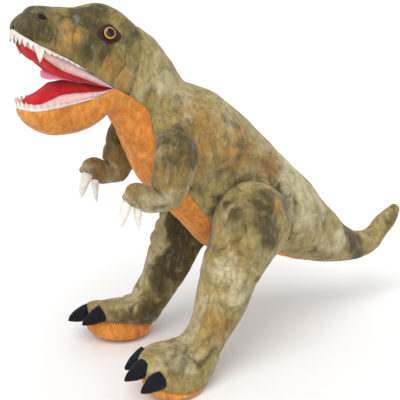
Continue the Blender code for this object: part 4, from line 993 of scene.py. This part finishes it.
# Each tooth is (centre, width, height, shape).
FRONT_TEETH = [(0.000, 0.009, 0.013, 1.3)] + [
    (centre / 1000, width / 1000, height / 1000, 1.3)
    for centre, width, height in ((8.5, 10, 14), (17, 9.5, 13), (25.5, 9.5, 12), (33.5, 8.5, 11))]
CANINE = [(0.044, 0.0155, 0.022, 1.2)]
SCALLOPS = [((56 + 8.6 * k) / 1000, 0.0096, (12.0 - 0.5 * k) / 1000, 1.7) for k in range(6)]
UPPER_TEETH = FRONT_TEETH + CANINE + SCALLOPS
LOWER_TEETH = [((4 + 8 * k) / 1000, 0.0088, (12.5 - 0.6 * k) / 1000, 1.5) for k in range(11)]
tooth_strip("upper_tooth_strip", upper_lip, upper_run, UPPER_TEETH, True,
            ((0, 14), (0.035, 10), (0.045, 10), (0.054, 70), (0.08, 104), (0.13, 112)), "head", "upper_teeth")
tooth_strip("lower_tooth_strip", lower_lip, lower_run, LOWER_TEETH, False,
            ((0, 10), (0.05, 20), (0.07, 60), (0.11, 80)), "jaw", "lower_teeth")

# %% [markdown]
# ## Tongue
# A flat pink felt flap with ribs across it and a round tip, lying on the floor of the mouth.

# %% Tongue flap
TONGUE_LENGTH, TONGUE_HALF, TONGUE_HALF_THICKNESS = 0.058, 0.0155, 0.0036
TONGUE_ARCH, TONGUE_EDGE_DROP = 0.004, 0.006
# At each share of the length the flap is a flattened ring: sideways by swell * cos(turn), and up
# by |sin(turn)|^0.7 with its sign, plus a cosine of ribs on top, an arch, and lowered edges.
RIB_HEIGHT, RIB_PITCH = 0.00030, 0.0026
root, rise = JOINT["tongue_flap"], math.radians(13)
share = crowded(count(260), 1.25)[:, None]
turn = (np.arange(count(44)) * 2 * math.pi / count(44))[None]
swell = (0.75 + 0.6 * share) * np.sqrt(np.clip(1 - share ** 8, 0, 1))
flat = np.sign(np.sin(turn)) * np.abs(np.sin(turn)) ** 0.7
waves = np.cos(2 * math.pi * share * TONGUE_LENGTH / RIB_PITCH)
ribs = RIB_HEIGHT * waves * (flat > 0.3) * step(swell, 0, 0.6)
lift = TONGUE_HALF_THICKNESS * flat * np.minimum(swell * 1.4, 1) + ribs
lift = lift + TONGUE_ARCH * np.sin(share * math.pi) - TONGUE_EDGE_DROP * np.cos(turn) ** 2
length = share * TONGUE_LENGTH
tongue_points = np.stack([
    root[0] - length * math.cos(rise) - lift * math.sin(rise), root[1] + TONGUE_HALF * swell * np.cos(turn),
    root[2] + length * math.sin(rise) + lift * math.cos(rise)], -1)
tongue_core = np.repeat(tongue_points.mean(1, keepdims=True), count(44), 1)
tongue = piece("tongue_flap", tongue_points, tongue_core, TONGUE, wrap=True, poles=(True, True))
place(tongue, "tongue_felt", ["tongue"], "tongue")


# %% [markdown]
# ## Eyes, brows and nostrils
# A safety eye is an amber cabochon with a black pupil, pressed through a felt almond. A stuffed
# brow of the head's own plush stands behind and above it. Patches are bent to the cover by moving
# over its two directions.

# %% Patches that follow a cover
def on_cover(surface, station, angle, forward, upward):
    """Points of a surface at a distance forward and upward from one of its points. The distances
    become steps of station and angle through the surface's own slopes."""
    nudge = 1e-3
    base, inside = surface(np.array(station), np.array(angle))
    by_station = (surface(np.array(station + nudge), np.array(angle))[0] - base) / nudge
    by_angle = (surface(np.array(station), np.array(angle + nudge))[0] - base) / nudge
    normal = unit(np.cross(by_station, by_angle))
    normal = normal * np.sign(normal @ (base - inside))
    ahead = unit(np.array([-1.0, 0, 0]) + normal * normal[0])
    across = np.cross(normal, ahead)
    across = across * np.sign(across[2] or 1)
    world = forward[..., None] * ahead + upward[..., None] * across
    moved = world @ np.linalg.pinv(np.stack([by_station, by_angle], 1)).T
    points, core = surface(station + moved[..., 0], angle + moved[..., 1])
    return points, core, normal, ahead, across


PATCH_GAP, PATCH_EDGE = 0.0012, 0.0035  # clear of the cover, and the depth of the edge


def patch(name, station, angle, half, finish, lift, crown, tilt=0.0, point=1.0, power=2.0):
    """Pad on the head: an oval (a cos t, b sin t |sin t|^(point-1)) scaled by r, turned by tilt
    and raised by lift + crown (1 - r^power), its edge running down to the cover."""
    radius = np.linspace(0, 1, count(40))[:, None]
    turned = (np.arange(count(90)) * 2 * math.pi / count(90))[None]
    wide = half[0] * np.cos(turned) * radius
    tall = half[1] * np.sign(np.sin(turned)) * np.abs(np.sin(turned)) ** point * radius
    forward = wide * math.cos(tilt) - tall * math.sin(tilt)
    upward = wide * math.sin(tilt) + tall * math.cos(tilt)
    points, core, _, _, _ = on_cover(head_surface, station, angle, forward, upward)
    outward = unit(points - core)
    height = lift * np.clip((1 - radius ** 12), 0, 1) + crown * (1 - radius ** power)
    points = points + outward * (PATCH_GAP + height + 0.0003 * wobble(points, 0.012))[..., None]
    edge = points[-1:] - outward[-1:] * PATCH_EDGE
    points, core = np.concatenate([points, edge]), np.concatenate([core, core[-1:]])
    return piece(name, points, core, finish, wrap=True, poles=(True, False))


EYE_LIFT = 0.0044  # from the head's cover to the edge of the dome


def safety_eye(name, station, angle, radius, rise):
    """Dome: height rise * cos(a) and radius * sin(a), then a short straight side."""
    zero = np.zeros(())
    base, _, normal, ahead, across = on_cover(head_surface, station, angle, zero, zero)
    a = np.linspace(0, math.pi / 2, count(40))
    out = np.concatenate([radius * np.sin(a), [radius, radius * 0.98]])[:, None, None]
    high = np.concatenate([EYE_LIFT + rise * np.cos(a), [0.0036, 0.0005]])[:, None, None]
    turned = np.arange(count(72)) * 2 * math.pi / count(72)
    ring_of = np.cos(turned)[:, None] * ahead + np.sin(turned)[:, None] * across
    points = base + normal * high + out * ring_of[None]
    core = np.broadcast_to(base - normal * 0.01, points.shape)
    marks = {"from_middle": np.broadcast_to(np.minimum(out[..., 0] / radius, 1), points.shape[:2]).copy()}
    marks["from_middle"][-2:] = 1.0
    return piece(name, points, core, EYE, wrap=True, poles=(True, False), marks=marks)


# %% Eyes, almonds, brows and nostrils
EYE_ANGLE, BROW_ANGLE, NOSTRIL_ANGLE = math.radians(123.5), math.radians(141), math.radians(138)
EYE_RADIUS, EYE_RISE = 0.0084, 0.0052
ALMOND_HALF, BROW_HALF, NOSTRIL_HALF = (0.0168, 0.0130), (0.0200, 0.0165), (0.0058, 0.0036)
for side_name, side in (("left", -1), ("right", 1)):
    eye_piece = safety_eye("amber_eye_" + side_name, 1.22, side * EYE_ANGLE, EYE_RADIUS, EYE_RISE)
    place(eye_piece, "eye_plastic", ["eye_" + side_name, "eye_washer_" + side_name], "head")
    almond = patch("eye_almond_" + side_name, 1.20, side * EYE_ANGLE, ALMOND_HALF, PATCH,
                   lift=0.0016, crown=0.0012, tilt=0.10, point=1.3)
    place(almond, "patch_felt", ["eye_patch_" + side_name], "head")
    brow = patch("brow_roll_" + side_name, 0.66, side * BROW_ANGLE, BROW_HALF, HEAD_PRINT,
                 lift=0.0, crown=0.0062, tilt=0.12)
    place(brow, "dark_plush", ["brow_" + side_name], "head")
    nostril = patch("nostril_oval_" + side_name, 3.80, side * NOSTRIL_ANGLE, NOSTRIL_HALF, BLACK,
                    lift=0.0006, crown=0.0, tilt=0.5)
    place(nostril, "black_felt", ["nostril_" + side_name], "head")

# %% [markdown]
# ## Legs, soles and claws
# A leg is one stuffed bag: a big thigh, a bent knee and a long flat foot. Its orange sole is sewn
# on with visible stitches, and three soft dark claws are sewn to the front of the foot.

# %% Limb stations and their tubes
# A station is x and z of the limb's front edge, x and z of its back edge, half its width, y of the
# section at the front and at the back, and the slope of the section from side to side. x and z
# are measured from the joint, and y from the middle plane.
LEG = np.array([
    (0.021, 0.056, 0.037, 0.049, 0.008, -0.064, -0.064, 0.0),
    (-0.011, 0.058, 0.059, 0.024, 0.028, -0.068, -0.068, 0.0),
    (-0.038, 0.045, 0.065, -0.004, 0.038, -0.072, -0.072, 0.0),
    (-0.054, 0.020, 0.056, -0.033, 0.042, -0.074, -0.074, 0.0),
    (-0.065, -0.020, 0.025, -0.064, 0.042, -0.076, -0.076, 0.0),
    (-0.079, -0.057, -0.001, -0.087, 0.038, -0.080, -0.080, 0.0),
    (-0.089, -0.097, -0.019, -0.123, 0.034, -0.083, -0.083, 0.0),
    (-0.100, -0.134, -0.050, -0.162, 0.030, -0.086, -0.086, 0.0),
    (-0.119, -0.155, -0.068, -0.188, 0.030, -0.088, -0.088, 0.10),
    (-0.150, -0.157, -0.075, -0.203, 0.034, -0.094, -0.088, 0.24),
    (-0.186, -0.161, -0.081, -0.209, 0.037, -0.101, -0.089, 0.28),
    (-0.194, -0.186, -0.085, -0.213, 0.038, -0.103, -0.090, 0.30)])
SOLE = np.array([
    LEG[-1],
    (-0.1850, -0.2080, -0.0930, -0.2200, 0.0368, -0.101, -0.091, 0.10),
    (-0.1580, -0.2240, -0.1100, -0.2240, 0.0230, -0.099, -0.092, 0.0)])
ARM = np.array([
    (0.002, 0.027, 0.014, 0.023, 0.006, -0.068, -0.068, 0.0),
    (-0.015, 0.019, 0.023, 0.007, 0.018, -0.072, -0.072, 0.0),
    (-0.026, 0.002, 0.022, -0.012, 0.022, -0.075, -0.075, 0.0),
    (-0.032, -0.022, 0.012, -0.036, 0.022, -0.079, -0.079, 0.0),
    (-0.036, -0.042, -0.001, -0.062, 0.020, -0.081, -0.081, 0.0),
    (-0.034, -0.049, -0.017, -0.081, 0.018, -0.080, -0.080, 0.0),
    (-0.041, -0.046, -0.043, -0.080, 0.016, -0.078, -0.078, 0.0),
    (-0.055, -0.040, -0.059, -0.071, 0.015, -0.076, -0.076, 0.0),
    (-0.067, -0.041, -0.071, -0.064, 0.011, -0.075, -0.075, 0.0),
    (-0.074, -0.050, -0.075, -0.057, 0.004, -0.075, -0.075, 0.0)])
UPPER_ARM = slice(1, 6)  # fuller behind, and a little in front
ARM[UPPER_ARM, 2] += np.array([0.004, 0.008, 0.009, 0.007, 0.003])
ARM[UPPER_ARM, 0] -= np.array([0.001, 0.002, 0.002, 0.002, 0.001])


def limb_tube(stations, anchor, plane):
    """Tube of a limb from stations relative to its joint. Its inner side stays outside `plane`."""
    def limit(points):
        """Points of the left limb, none of them nearer the body than the plane."""
        points = points.copy()
        points[..., 1] = np.minimum(points[..., 1], -plane)
        return points
    low, high = stations[:, 0:2] + anchor, stations[:, 2:4] + anchor
    return tube(low, high, stations[:, 4], stations[:, 5:7], stations[:, 7], limit)


LIMB_GAP = 0.0012  # between a limb and its flat seat on the trunk
leg_surface = limb_tube(LEG, HIP, HIP_SEAT + LIMB_GAP)
sole_surface = limb_tube(SOLE, HIP, HIP_SEAT + LIMB_GAP)
arm_surface = limb_tube(ARM, SHOULDER, SHOULDER_SEAT + LIMB_GAP)
SIDES = (("left", 1.0), ("right", -1.0))
# Each claw is (station, angle in degrees, yaw and pitch in radians).
TOES = ((10.45, 39, 0.05, 0.26), (10.50, 2, 0.14, 0.18), (10.50, -38, 0.26, 0.08))
FINGERS = ((6.90, 165, 0.0, 1.50), (8.00, 155, 0.1, 1.15))


def toe_places():
    """Where the claws meet the foot."""
    return np.stack([leg_surface(np.array(toe[0]), np.radians(toe[1]))[0] for toe in TOES])


# %% Leg covers
leg_rows, leg_turn = np.linspace(0, 11, count(230)), np.arange(count(150)) * 2 * math.pi / count(150)
leg, leg_core = leg_surface(leg_rows[:, None], leg_turn[None])
LEG_CAP_ROWS, LEG_CAP_HEIGHT = 10, 0.005
cap = closing_rows(leg[0], leg_core[0, 0] - leg_core[6, 0], LEG_CAP_HEIGHT, LEG_CAP_ROWS)
leg = np.concatenate([cap, leg])
leg_core = np.concatenate([np.repeat(leg_core[:1], LEG_CAP_ROWS, 0), leg_core])
leg_seam = run_length(leg[::-1], 0)[::-1]
outer = step(-leg[..., 1], 0.066, 0.085)
inner = step(leg[..., 1], -0.075, -0.058)
lines = near_lines(leg, LEG_CREASES, 0.0048) * 0.0026 + near_lines(leg, LEG_SEAMS, 0.0022) * 0.0016
toe_away = np.linalg.norm(leg[..., None, :] - toe_places(), axis=-1)
TOE_SWELL, TOE_REACH = 0.0030, 0.017
STRIP_ANGLE, SHIN_RADIUS = math.radians(24), 0.035
toes = TOE_SWELL * np.exp(-(toe_away / TOE_REACH) ** 2).sum(-1)
station = np.concatenate([np.zeros(LEG_CAP_ROWS), leg_rows])[:, None]
off_strip = np.abs((leg_turn[None] + STRIP_ANGLE + math.pi) % (2 * math.pi) - math.pi) * SHIN_RADIUS
strip = np.exp(-(off_strip / 0.0022) ** 2) * step(station, 5.4, 6.2) * (1 - step(station, 8.9, 9.3))
leg, leg_normal = stuffed(
    leg, leg_core, leg_seam, True, 0.0012,
    lines * np.maximum(outer, 0.3) + 0.0020 * strip - toes * step(leg_seam, 0, 0.01))
leg[..., 1] = np.minimum(leg[..., 1], -HIP_SEAT - LIMB_GAP)
# The inner side of each leg, towards the body, gets more dark dye through `brown`: partly browner print,
# partly painted shade between leg and body.
leg_marks = dye_and_shade_marks(leg, leg_normal, leg_seam, (), inner * 0.8)
# The leg's sewn seams and the shin crease go into the seam mark, which paints shade along them.
shin_seams = np.maximum(near_lines(leg, LEG_SEAMS[1:], 0.0014) * outer, strip)
leg_marks["seam"] = np.maximum(leg_marks["seam"], shin_seams)
# A narrow band down the front of the shin is paler.
inside_strip = step(station, 5.6, 6.4) * (1 - step(station, 8.6, 9.2)) * (np.cos(leg_turn[None]) > 0.9)
leg_marks["pale"] = np.clip(leg_marks["pale"] + 0.8 * inside_strip, 0, 1)

sole_rows = np.linspace(0, 2, count(40))
sole, sole_core = sole_surface(sole_rows[:, None], leg_turn[None])
flat_rows = closing_rows(sole[-1], np.array([0, 0, -1.0]), 0.0, 12)[::-1]
sole = np.concatenate([sole, flat_rows])
sole_heart = np.array([HIP[0] - 0.138, -0.096, HIP[1] - 0.180])
sole_core = np.broadcast_to(sole_heart, sole.shape)
sole_seam = run_length(sole, 0)
sole, sole_normal = stuffed(sole, sole_core, sole_seam, True, 0.0006, 0.0, step(sole[..., 2], 0.001, 0.012))
sole[..., 2] = np.maximum(sole[..., 2], 0.0)

for side_name, side in SIDES:
    turned = np.array([1.0, side, 1.0])
    leg_body = "leg_" + side_name
    cover = piece("leg_cover_" + side_name, leg * turned, leg_core * turned, PRINT, wrap=True,
                  poles=(True, False), rows=(False, True), marks=leg_marks, normal=leg_normal * turned)
    place(cover, "printed_plush", ["leg_skin_" + side_name, "leg_stuffing_" + side_name], leg_body)
    cover = piece("sole_cover_" + side_name, sole * turned, sole_core * turned, ORANGE, wrap=True,
                  poles=(False, True), rows=(True, False), marks=dye_and_shade_marks(sole, sole_normal, sole_seam),
                  normal=sole_normal * turned)
    place(cover, "orange_plush", ["sole_panel_" + side_name], leg_body)

# %% Arm covers
arm_rows, arm_turn = np.linspace(0, 9, count(150)), np.arange(count(100)) * 2 * math.pi / count(100)
arm, arm_core = arm_surface(arm_rows[:, None], arm_turn[None])
ARM_CAP_ROWS, ARM_CAP_HEIGHT = 8, 0.004
ARM_CREASE_DEPTH, ARM_CREASE_WIDTH = 0.0018, 0.0034
cap = closing_rows(arm[0], arm_core[0, 0] - arm_core[4, 0], ARM_CAP_HEIGHT, ARM_CAP_ROWS)
tip = closing_rows(arm[-1], arm_core[-1, 0] - arm_core[-4, 0], ARM_CAP_HEIGHT, ARM_CAP_ROWS)[::-1]
arm = np.concatenate([cap, arm, tip])
arm_core = np.concatenate([
    np.repeat(arm_core[:1], ARM_CAP_ROWS, 0), arm_core, np.repeat(arm_core[-1:], ARM_CAP_ROWS, 0)])
arm_seam = np.full(arm.shape[:2], 0.05)  # no seam is near
arm_crease = ARM_CREASE_DEPTH * near_lines(arm, ARM_CREASES, ARM_CREASE_WIDTH)
arm, arm_normal = stuffed(arm, arm_core, arm_seam, True, 0.0009, arm_crease)
arm[..., 1] = np.minimum(arm[..., 1], -SHOULDER_SEAT - LIMB_GAP)
arm_marks = dye_and_shade_marks(arm, arm_normal, arm_seam)
# The arm is darker at its top by the shoulder and paler at its lower end.
arm_marks["dark"] = np.clip(arm_marks["dark"] + step(arm[..., 2], 0.318, 0.336) * 0.7, 0, 1)
arm_marks["pale"] = step(-arm[..., 2], -0.312, -0.296) * 0.5
for side_name, side in SIDES:
    turned = np.array([1.0, side, 1.0])
    cover = piece("arm_cover_" + side_name, arm * turned, arm_core * turned, ARM_PRINT, wrap=True,
                  poles=(True, True), marks=arm_marks, normal=arm_normal * turned)
    solids = ["arm_skin_" + side_name, "arm_stuffing_" + side_name]
    place(cover, "brown_plush", solids, "arm_" + side_name)


# %% Claws: soft cones bent downwards
def claw(name, surface, spec, size, finish, side, droop=0.10, sunk=0.005):
    """Cone from inside the cover: centre = base + direction (1.02 L t - sunk (1 - t)) + down
    droop L t^2 and radius R (1 - t^1.7)^0.75, t from 0 in the cover to 1 at the round tip."""
    station, angle, yaw, pitch = spec
    radius, length = size
    level = math.cos(pitch)
    direction = np.array([-level * math.cos(yaw), -level * math.sin(yaw), -math.sin(pitch)])
    base = surface(np.array(station), np.array(math.radians(angle)))[0]
    side_way = unit(np.cross(direction, (0, 0, 1.0)))
    down = np.cross(direction, side_way)
    t = crowded(count(50), 1.4)[:, None, None]
    turned = (np.arange(count(48)) * 2 * math.pi / count(48))[None, :, None]
    spread = radius * (1 - t ** 1.7) ** 0.75 * (1 - 0.10 * (t < 0.02))
    middle = base + direction * (length * t * 1.02 - sunk * (1 - t)) + down * droop * length * t ** 2
    points = middle + spread * (np.cos(turned) * side_way + np.sin(turned) * down)
    points = points + unit(points - middle + 1e-9) * (0.0005 * wobble(points, 0.02))[..., None] * (t < 0.97)
    mirrored = np.array([1.0, side, 1.0])
    core = np.broadcast_to(middle, points.shape)
    return piece(name, points * mirrored, core * mirrored, finish, wrap=True, poles=(False, True))


TOE_SIZE = (0.0136, 0.031)
FINGER_RADIUS, FINGER_STEP, FINGER_LENGTH = 0.0062, 0.0022, 0.035
for side_name, side in SIDES:
    for number, spec in enumerate(TOES, 1):
        made = claw(f"toe_claw_cover_{number}_{side_name}", leg_surface, spec, TOE_SIZE, NAVY, side)
        place(made, "navy_plush", [f"toe_claw_{number}_{side_name}"], "leg_" + side_name)
    for number, spec in enumerate(FINGERS, 1):
        size = (FINGER_RADIUS + FINGER_STEP * (number - 1), FINGER_LENGTH)
        made = claw(f"hand_claw_cover_{number}_{side_name}", arm_surface, spec, size, CLAW, side)
        place(made, "claw_satin", [f"hand_claw_{number}_{side_name}"], "arm_" + side_name)

# %% [markdown]
# ## Stitches of the sole seam
# The sole is sewn on with a thick thread. Each stitch is a small capsule across the seam, and
# all the stitches of one foot are one piece.

# %% Stitches
THREAD = felt("sole_thread_fibres", paint(206, 150, 92), paint(188, 130, 76), 0.1, 900.0)
STITCH_PITCH, STITCH_HALF_LENGTH, STITCH_LIFT, THREAD_RADIUS = 0.0035, 0.0021, 0.0012, 0.00055
RINGS, RING_POINTS = 9, 8  # of one capsule
seam_ring = np.concatenate([leg[-3], leg[-3][:1]])
ring_run = run_length(seam_ring[:, None], 0)[:, 0]
stitch_count = int(ring_run[-1] / STITCH_PITCH)
at = (np.arange(stitch_count) + 0.5) / stitch_count * ring_run[-1]
middle = np.stack([np.interp(at, ring_run, seam_ring[:, k]) for k in range(3)], -1)
outer_ring = np.concatenate([leg_normal[-3], leg_normal[-3][:1]])
out = unit(np.stack([np.interp(at, ring_run, outer_ring[:, k]) for k in range(3)], -1))
ahead = np.stack([np.interp(at + 0.001, ring_run, seam_ring[:, k]) for k in range(3)], -1)
along = unit(ahead - middle + 1e-12)
over = unit(np.cross(out, along))
over = unit(over * np.sign(-over[:, 2:] + 1e-9) + 0.35 * along)
lengthwise = np.linspace(-1, 1, RINGS)[:, None]
round_turn = np.linspace(0, 2 * math.pi, RING_POINTS, endpoint=False)[None]
thick = THREAD_RADIUS * np.sqrt(1 - np.clip(np.abs(lengthwise), 0, 0.995) ** 4) * np.ones_like(round_turn)
side_of = np.cross(out, over)
rise_out = STITCH_LIFT - STITCH_LIFT * lengthwise ** 2 + thick * np.sin(round_turn)
capsules = (middle[:, None, None] + over[:, None, None] * (lengthwise * STITCH_HALF_LENGTH)[None, ..., None]
            + out[:, None, None] * rise_out[None, ..., None]
            + side_of[:, None, None] * (thick * np.cos(round_turn))[None, ..., None])
EACH = RINGS * RING_POINTS
grid_number = np.arange(EACH).reshape(RINGS, RING_POINTS)
wrapped = np.concatenate([grid_number, grid_number[:, :1]], 1)
faces = np.stack([wrapped[:-1, :-1], wrapped[:-1, 1:], wrapped[1:, 1:], wrapped[1:, :-1]], -1).reshape(-1, 4)
faces = (faces[None] + (np.arange(stitch_count) * EACH)[:, None, None]).reshape(-1, 4)
lids = [ring_of for k in range(stitch_count) for ring_of in (
    (grid_number[0] + k * EACH).tolist()[::-1], (grid_number[-1] + k * EACH).tolist())]
for side_name, side in SIDES:
    mesh = bpy.data.meshes.new("sole_stitches_" + side_name)
    turned = faces if side > 0 else faces[:, ::-1]
    caps = lids if side > 0 else [ring_of[::-1] for ring_of in lids]
    mesh.from_pydata((capsules.reshape(-1, 3) * [1, side, 1]).tolist(), [], turned.tolist() + caps)
    mesh.shade_smooth()
    mesh.materials.append(THREAD)
    obj = bpy.data.objects.new("sole_stitches_" + side_name, mesh)
    bpy.context.collection.objects.link(obj)
    place(obj, "orange_plush", [], "leg_" + side_name)
print("stitches on each sole", stitch_count)

# %% [markdown]
# ## Floor, light and camera
# A pale seamless floor, a bright even sky, a very soft sun from the upper front left, and a
# weaker one from lower down on the left that fills the shadows.

# %% Stage
floor_mesh = bpy.data.meshes.new("studio_floor")
floor_mesh.from_pydata([(-10, -10, 0), (10, -10, 0), (10, 10, 0), (-10, 10, 0)], [], [(0, 1, 2, 3)])
floor = bpy.data.objects.new("studio_floor", floor_mesh)
bpy.context.collection.objects.link(floor)
FLOOR, tree, shader, spot = blank("studio_floor_paper")
paper = ranged(tree, noise(tree, spot, 3.0), 0.3, 0.7, 0.985, 1.0)
tree.links.new(shaded(tree, paint(243, 243, 243), paper), shader.inputs["Base Color"])
dull(shader, 0.9)
floor_mesh.materials.append(FLOOR)

world = bpy.data.worlds.new("studio_sky")
bpy.context.scene.world = world
world.use_nodes = True
world.node_tree.nodes["Background"].inputs[0].default_value = (1.0, 1.0, 1.0, 1.0)
world.node_tree.nodes["Background"].inputs[1].default_value = 0.72


def sun(name, strength, towards, spread):
    """A sun whose light travels towards a direction, `spread` degrees wide."""
    light = bpy.data.lights.new(name, "SUN")
    light.energy, light.angle = strength, math.radians(spread)
    lamp = bpy.data.objects.new(name, light)
    lamp.rotation_euler = Vector(towards).to_track_quat("-Z", "Y").to_euler()
    bpy.context.collection.objects.link(lamp)


sun("key_light", 1.65, (0.45, 0.35, -0.9), 40)
sun("front_fill", 0.5, (0.4, 0.9, -0.25), 60)

CAMERA_DISTANCE = 1.2
target = Vector((-0.0685, 0.0, 0.244))
azimuth, height = math.radians(30), math.radians(18)
camera_data = bpy.data.cameras.new("camera")
camera_data.lens, camera_data.sensor_width = 72.0, 36.0
camera_data.clip_end = 60
camera = bpy.data.objects.new("camera", camera_data)
camera.location = target + CAMERA_DISTANCE * Vector((
    -math.sin(azimuth) * math.cos(height), -math.cos(azimuth) * math.cos(height), math.sin(height)))
camera.rotation_euler = (target - camera.location).to_track_quat("-Z", "Y").to_euler()
bpy.context.collection.objects.link(camera)
bpy.context.scene.camera = camera
bpy.context.scene.view_settings.view_transform = "Standard"
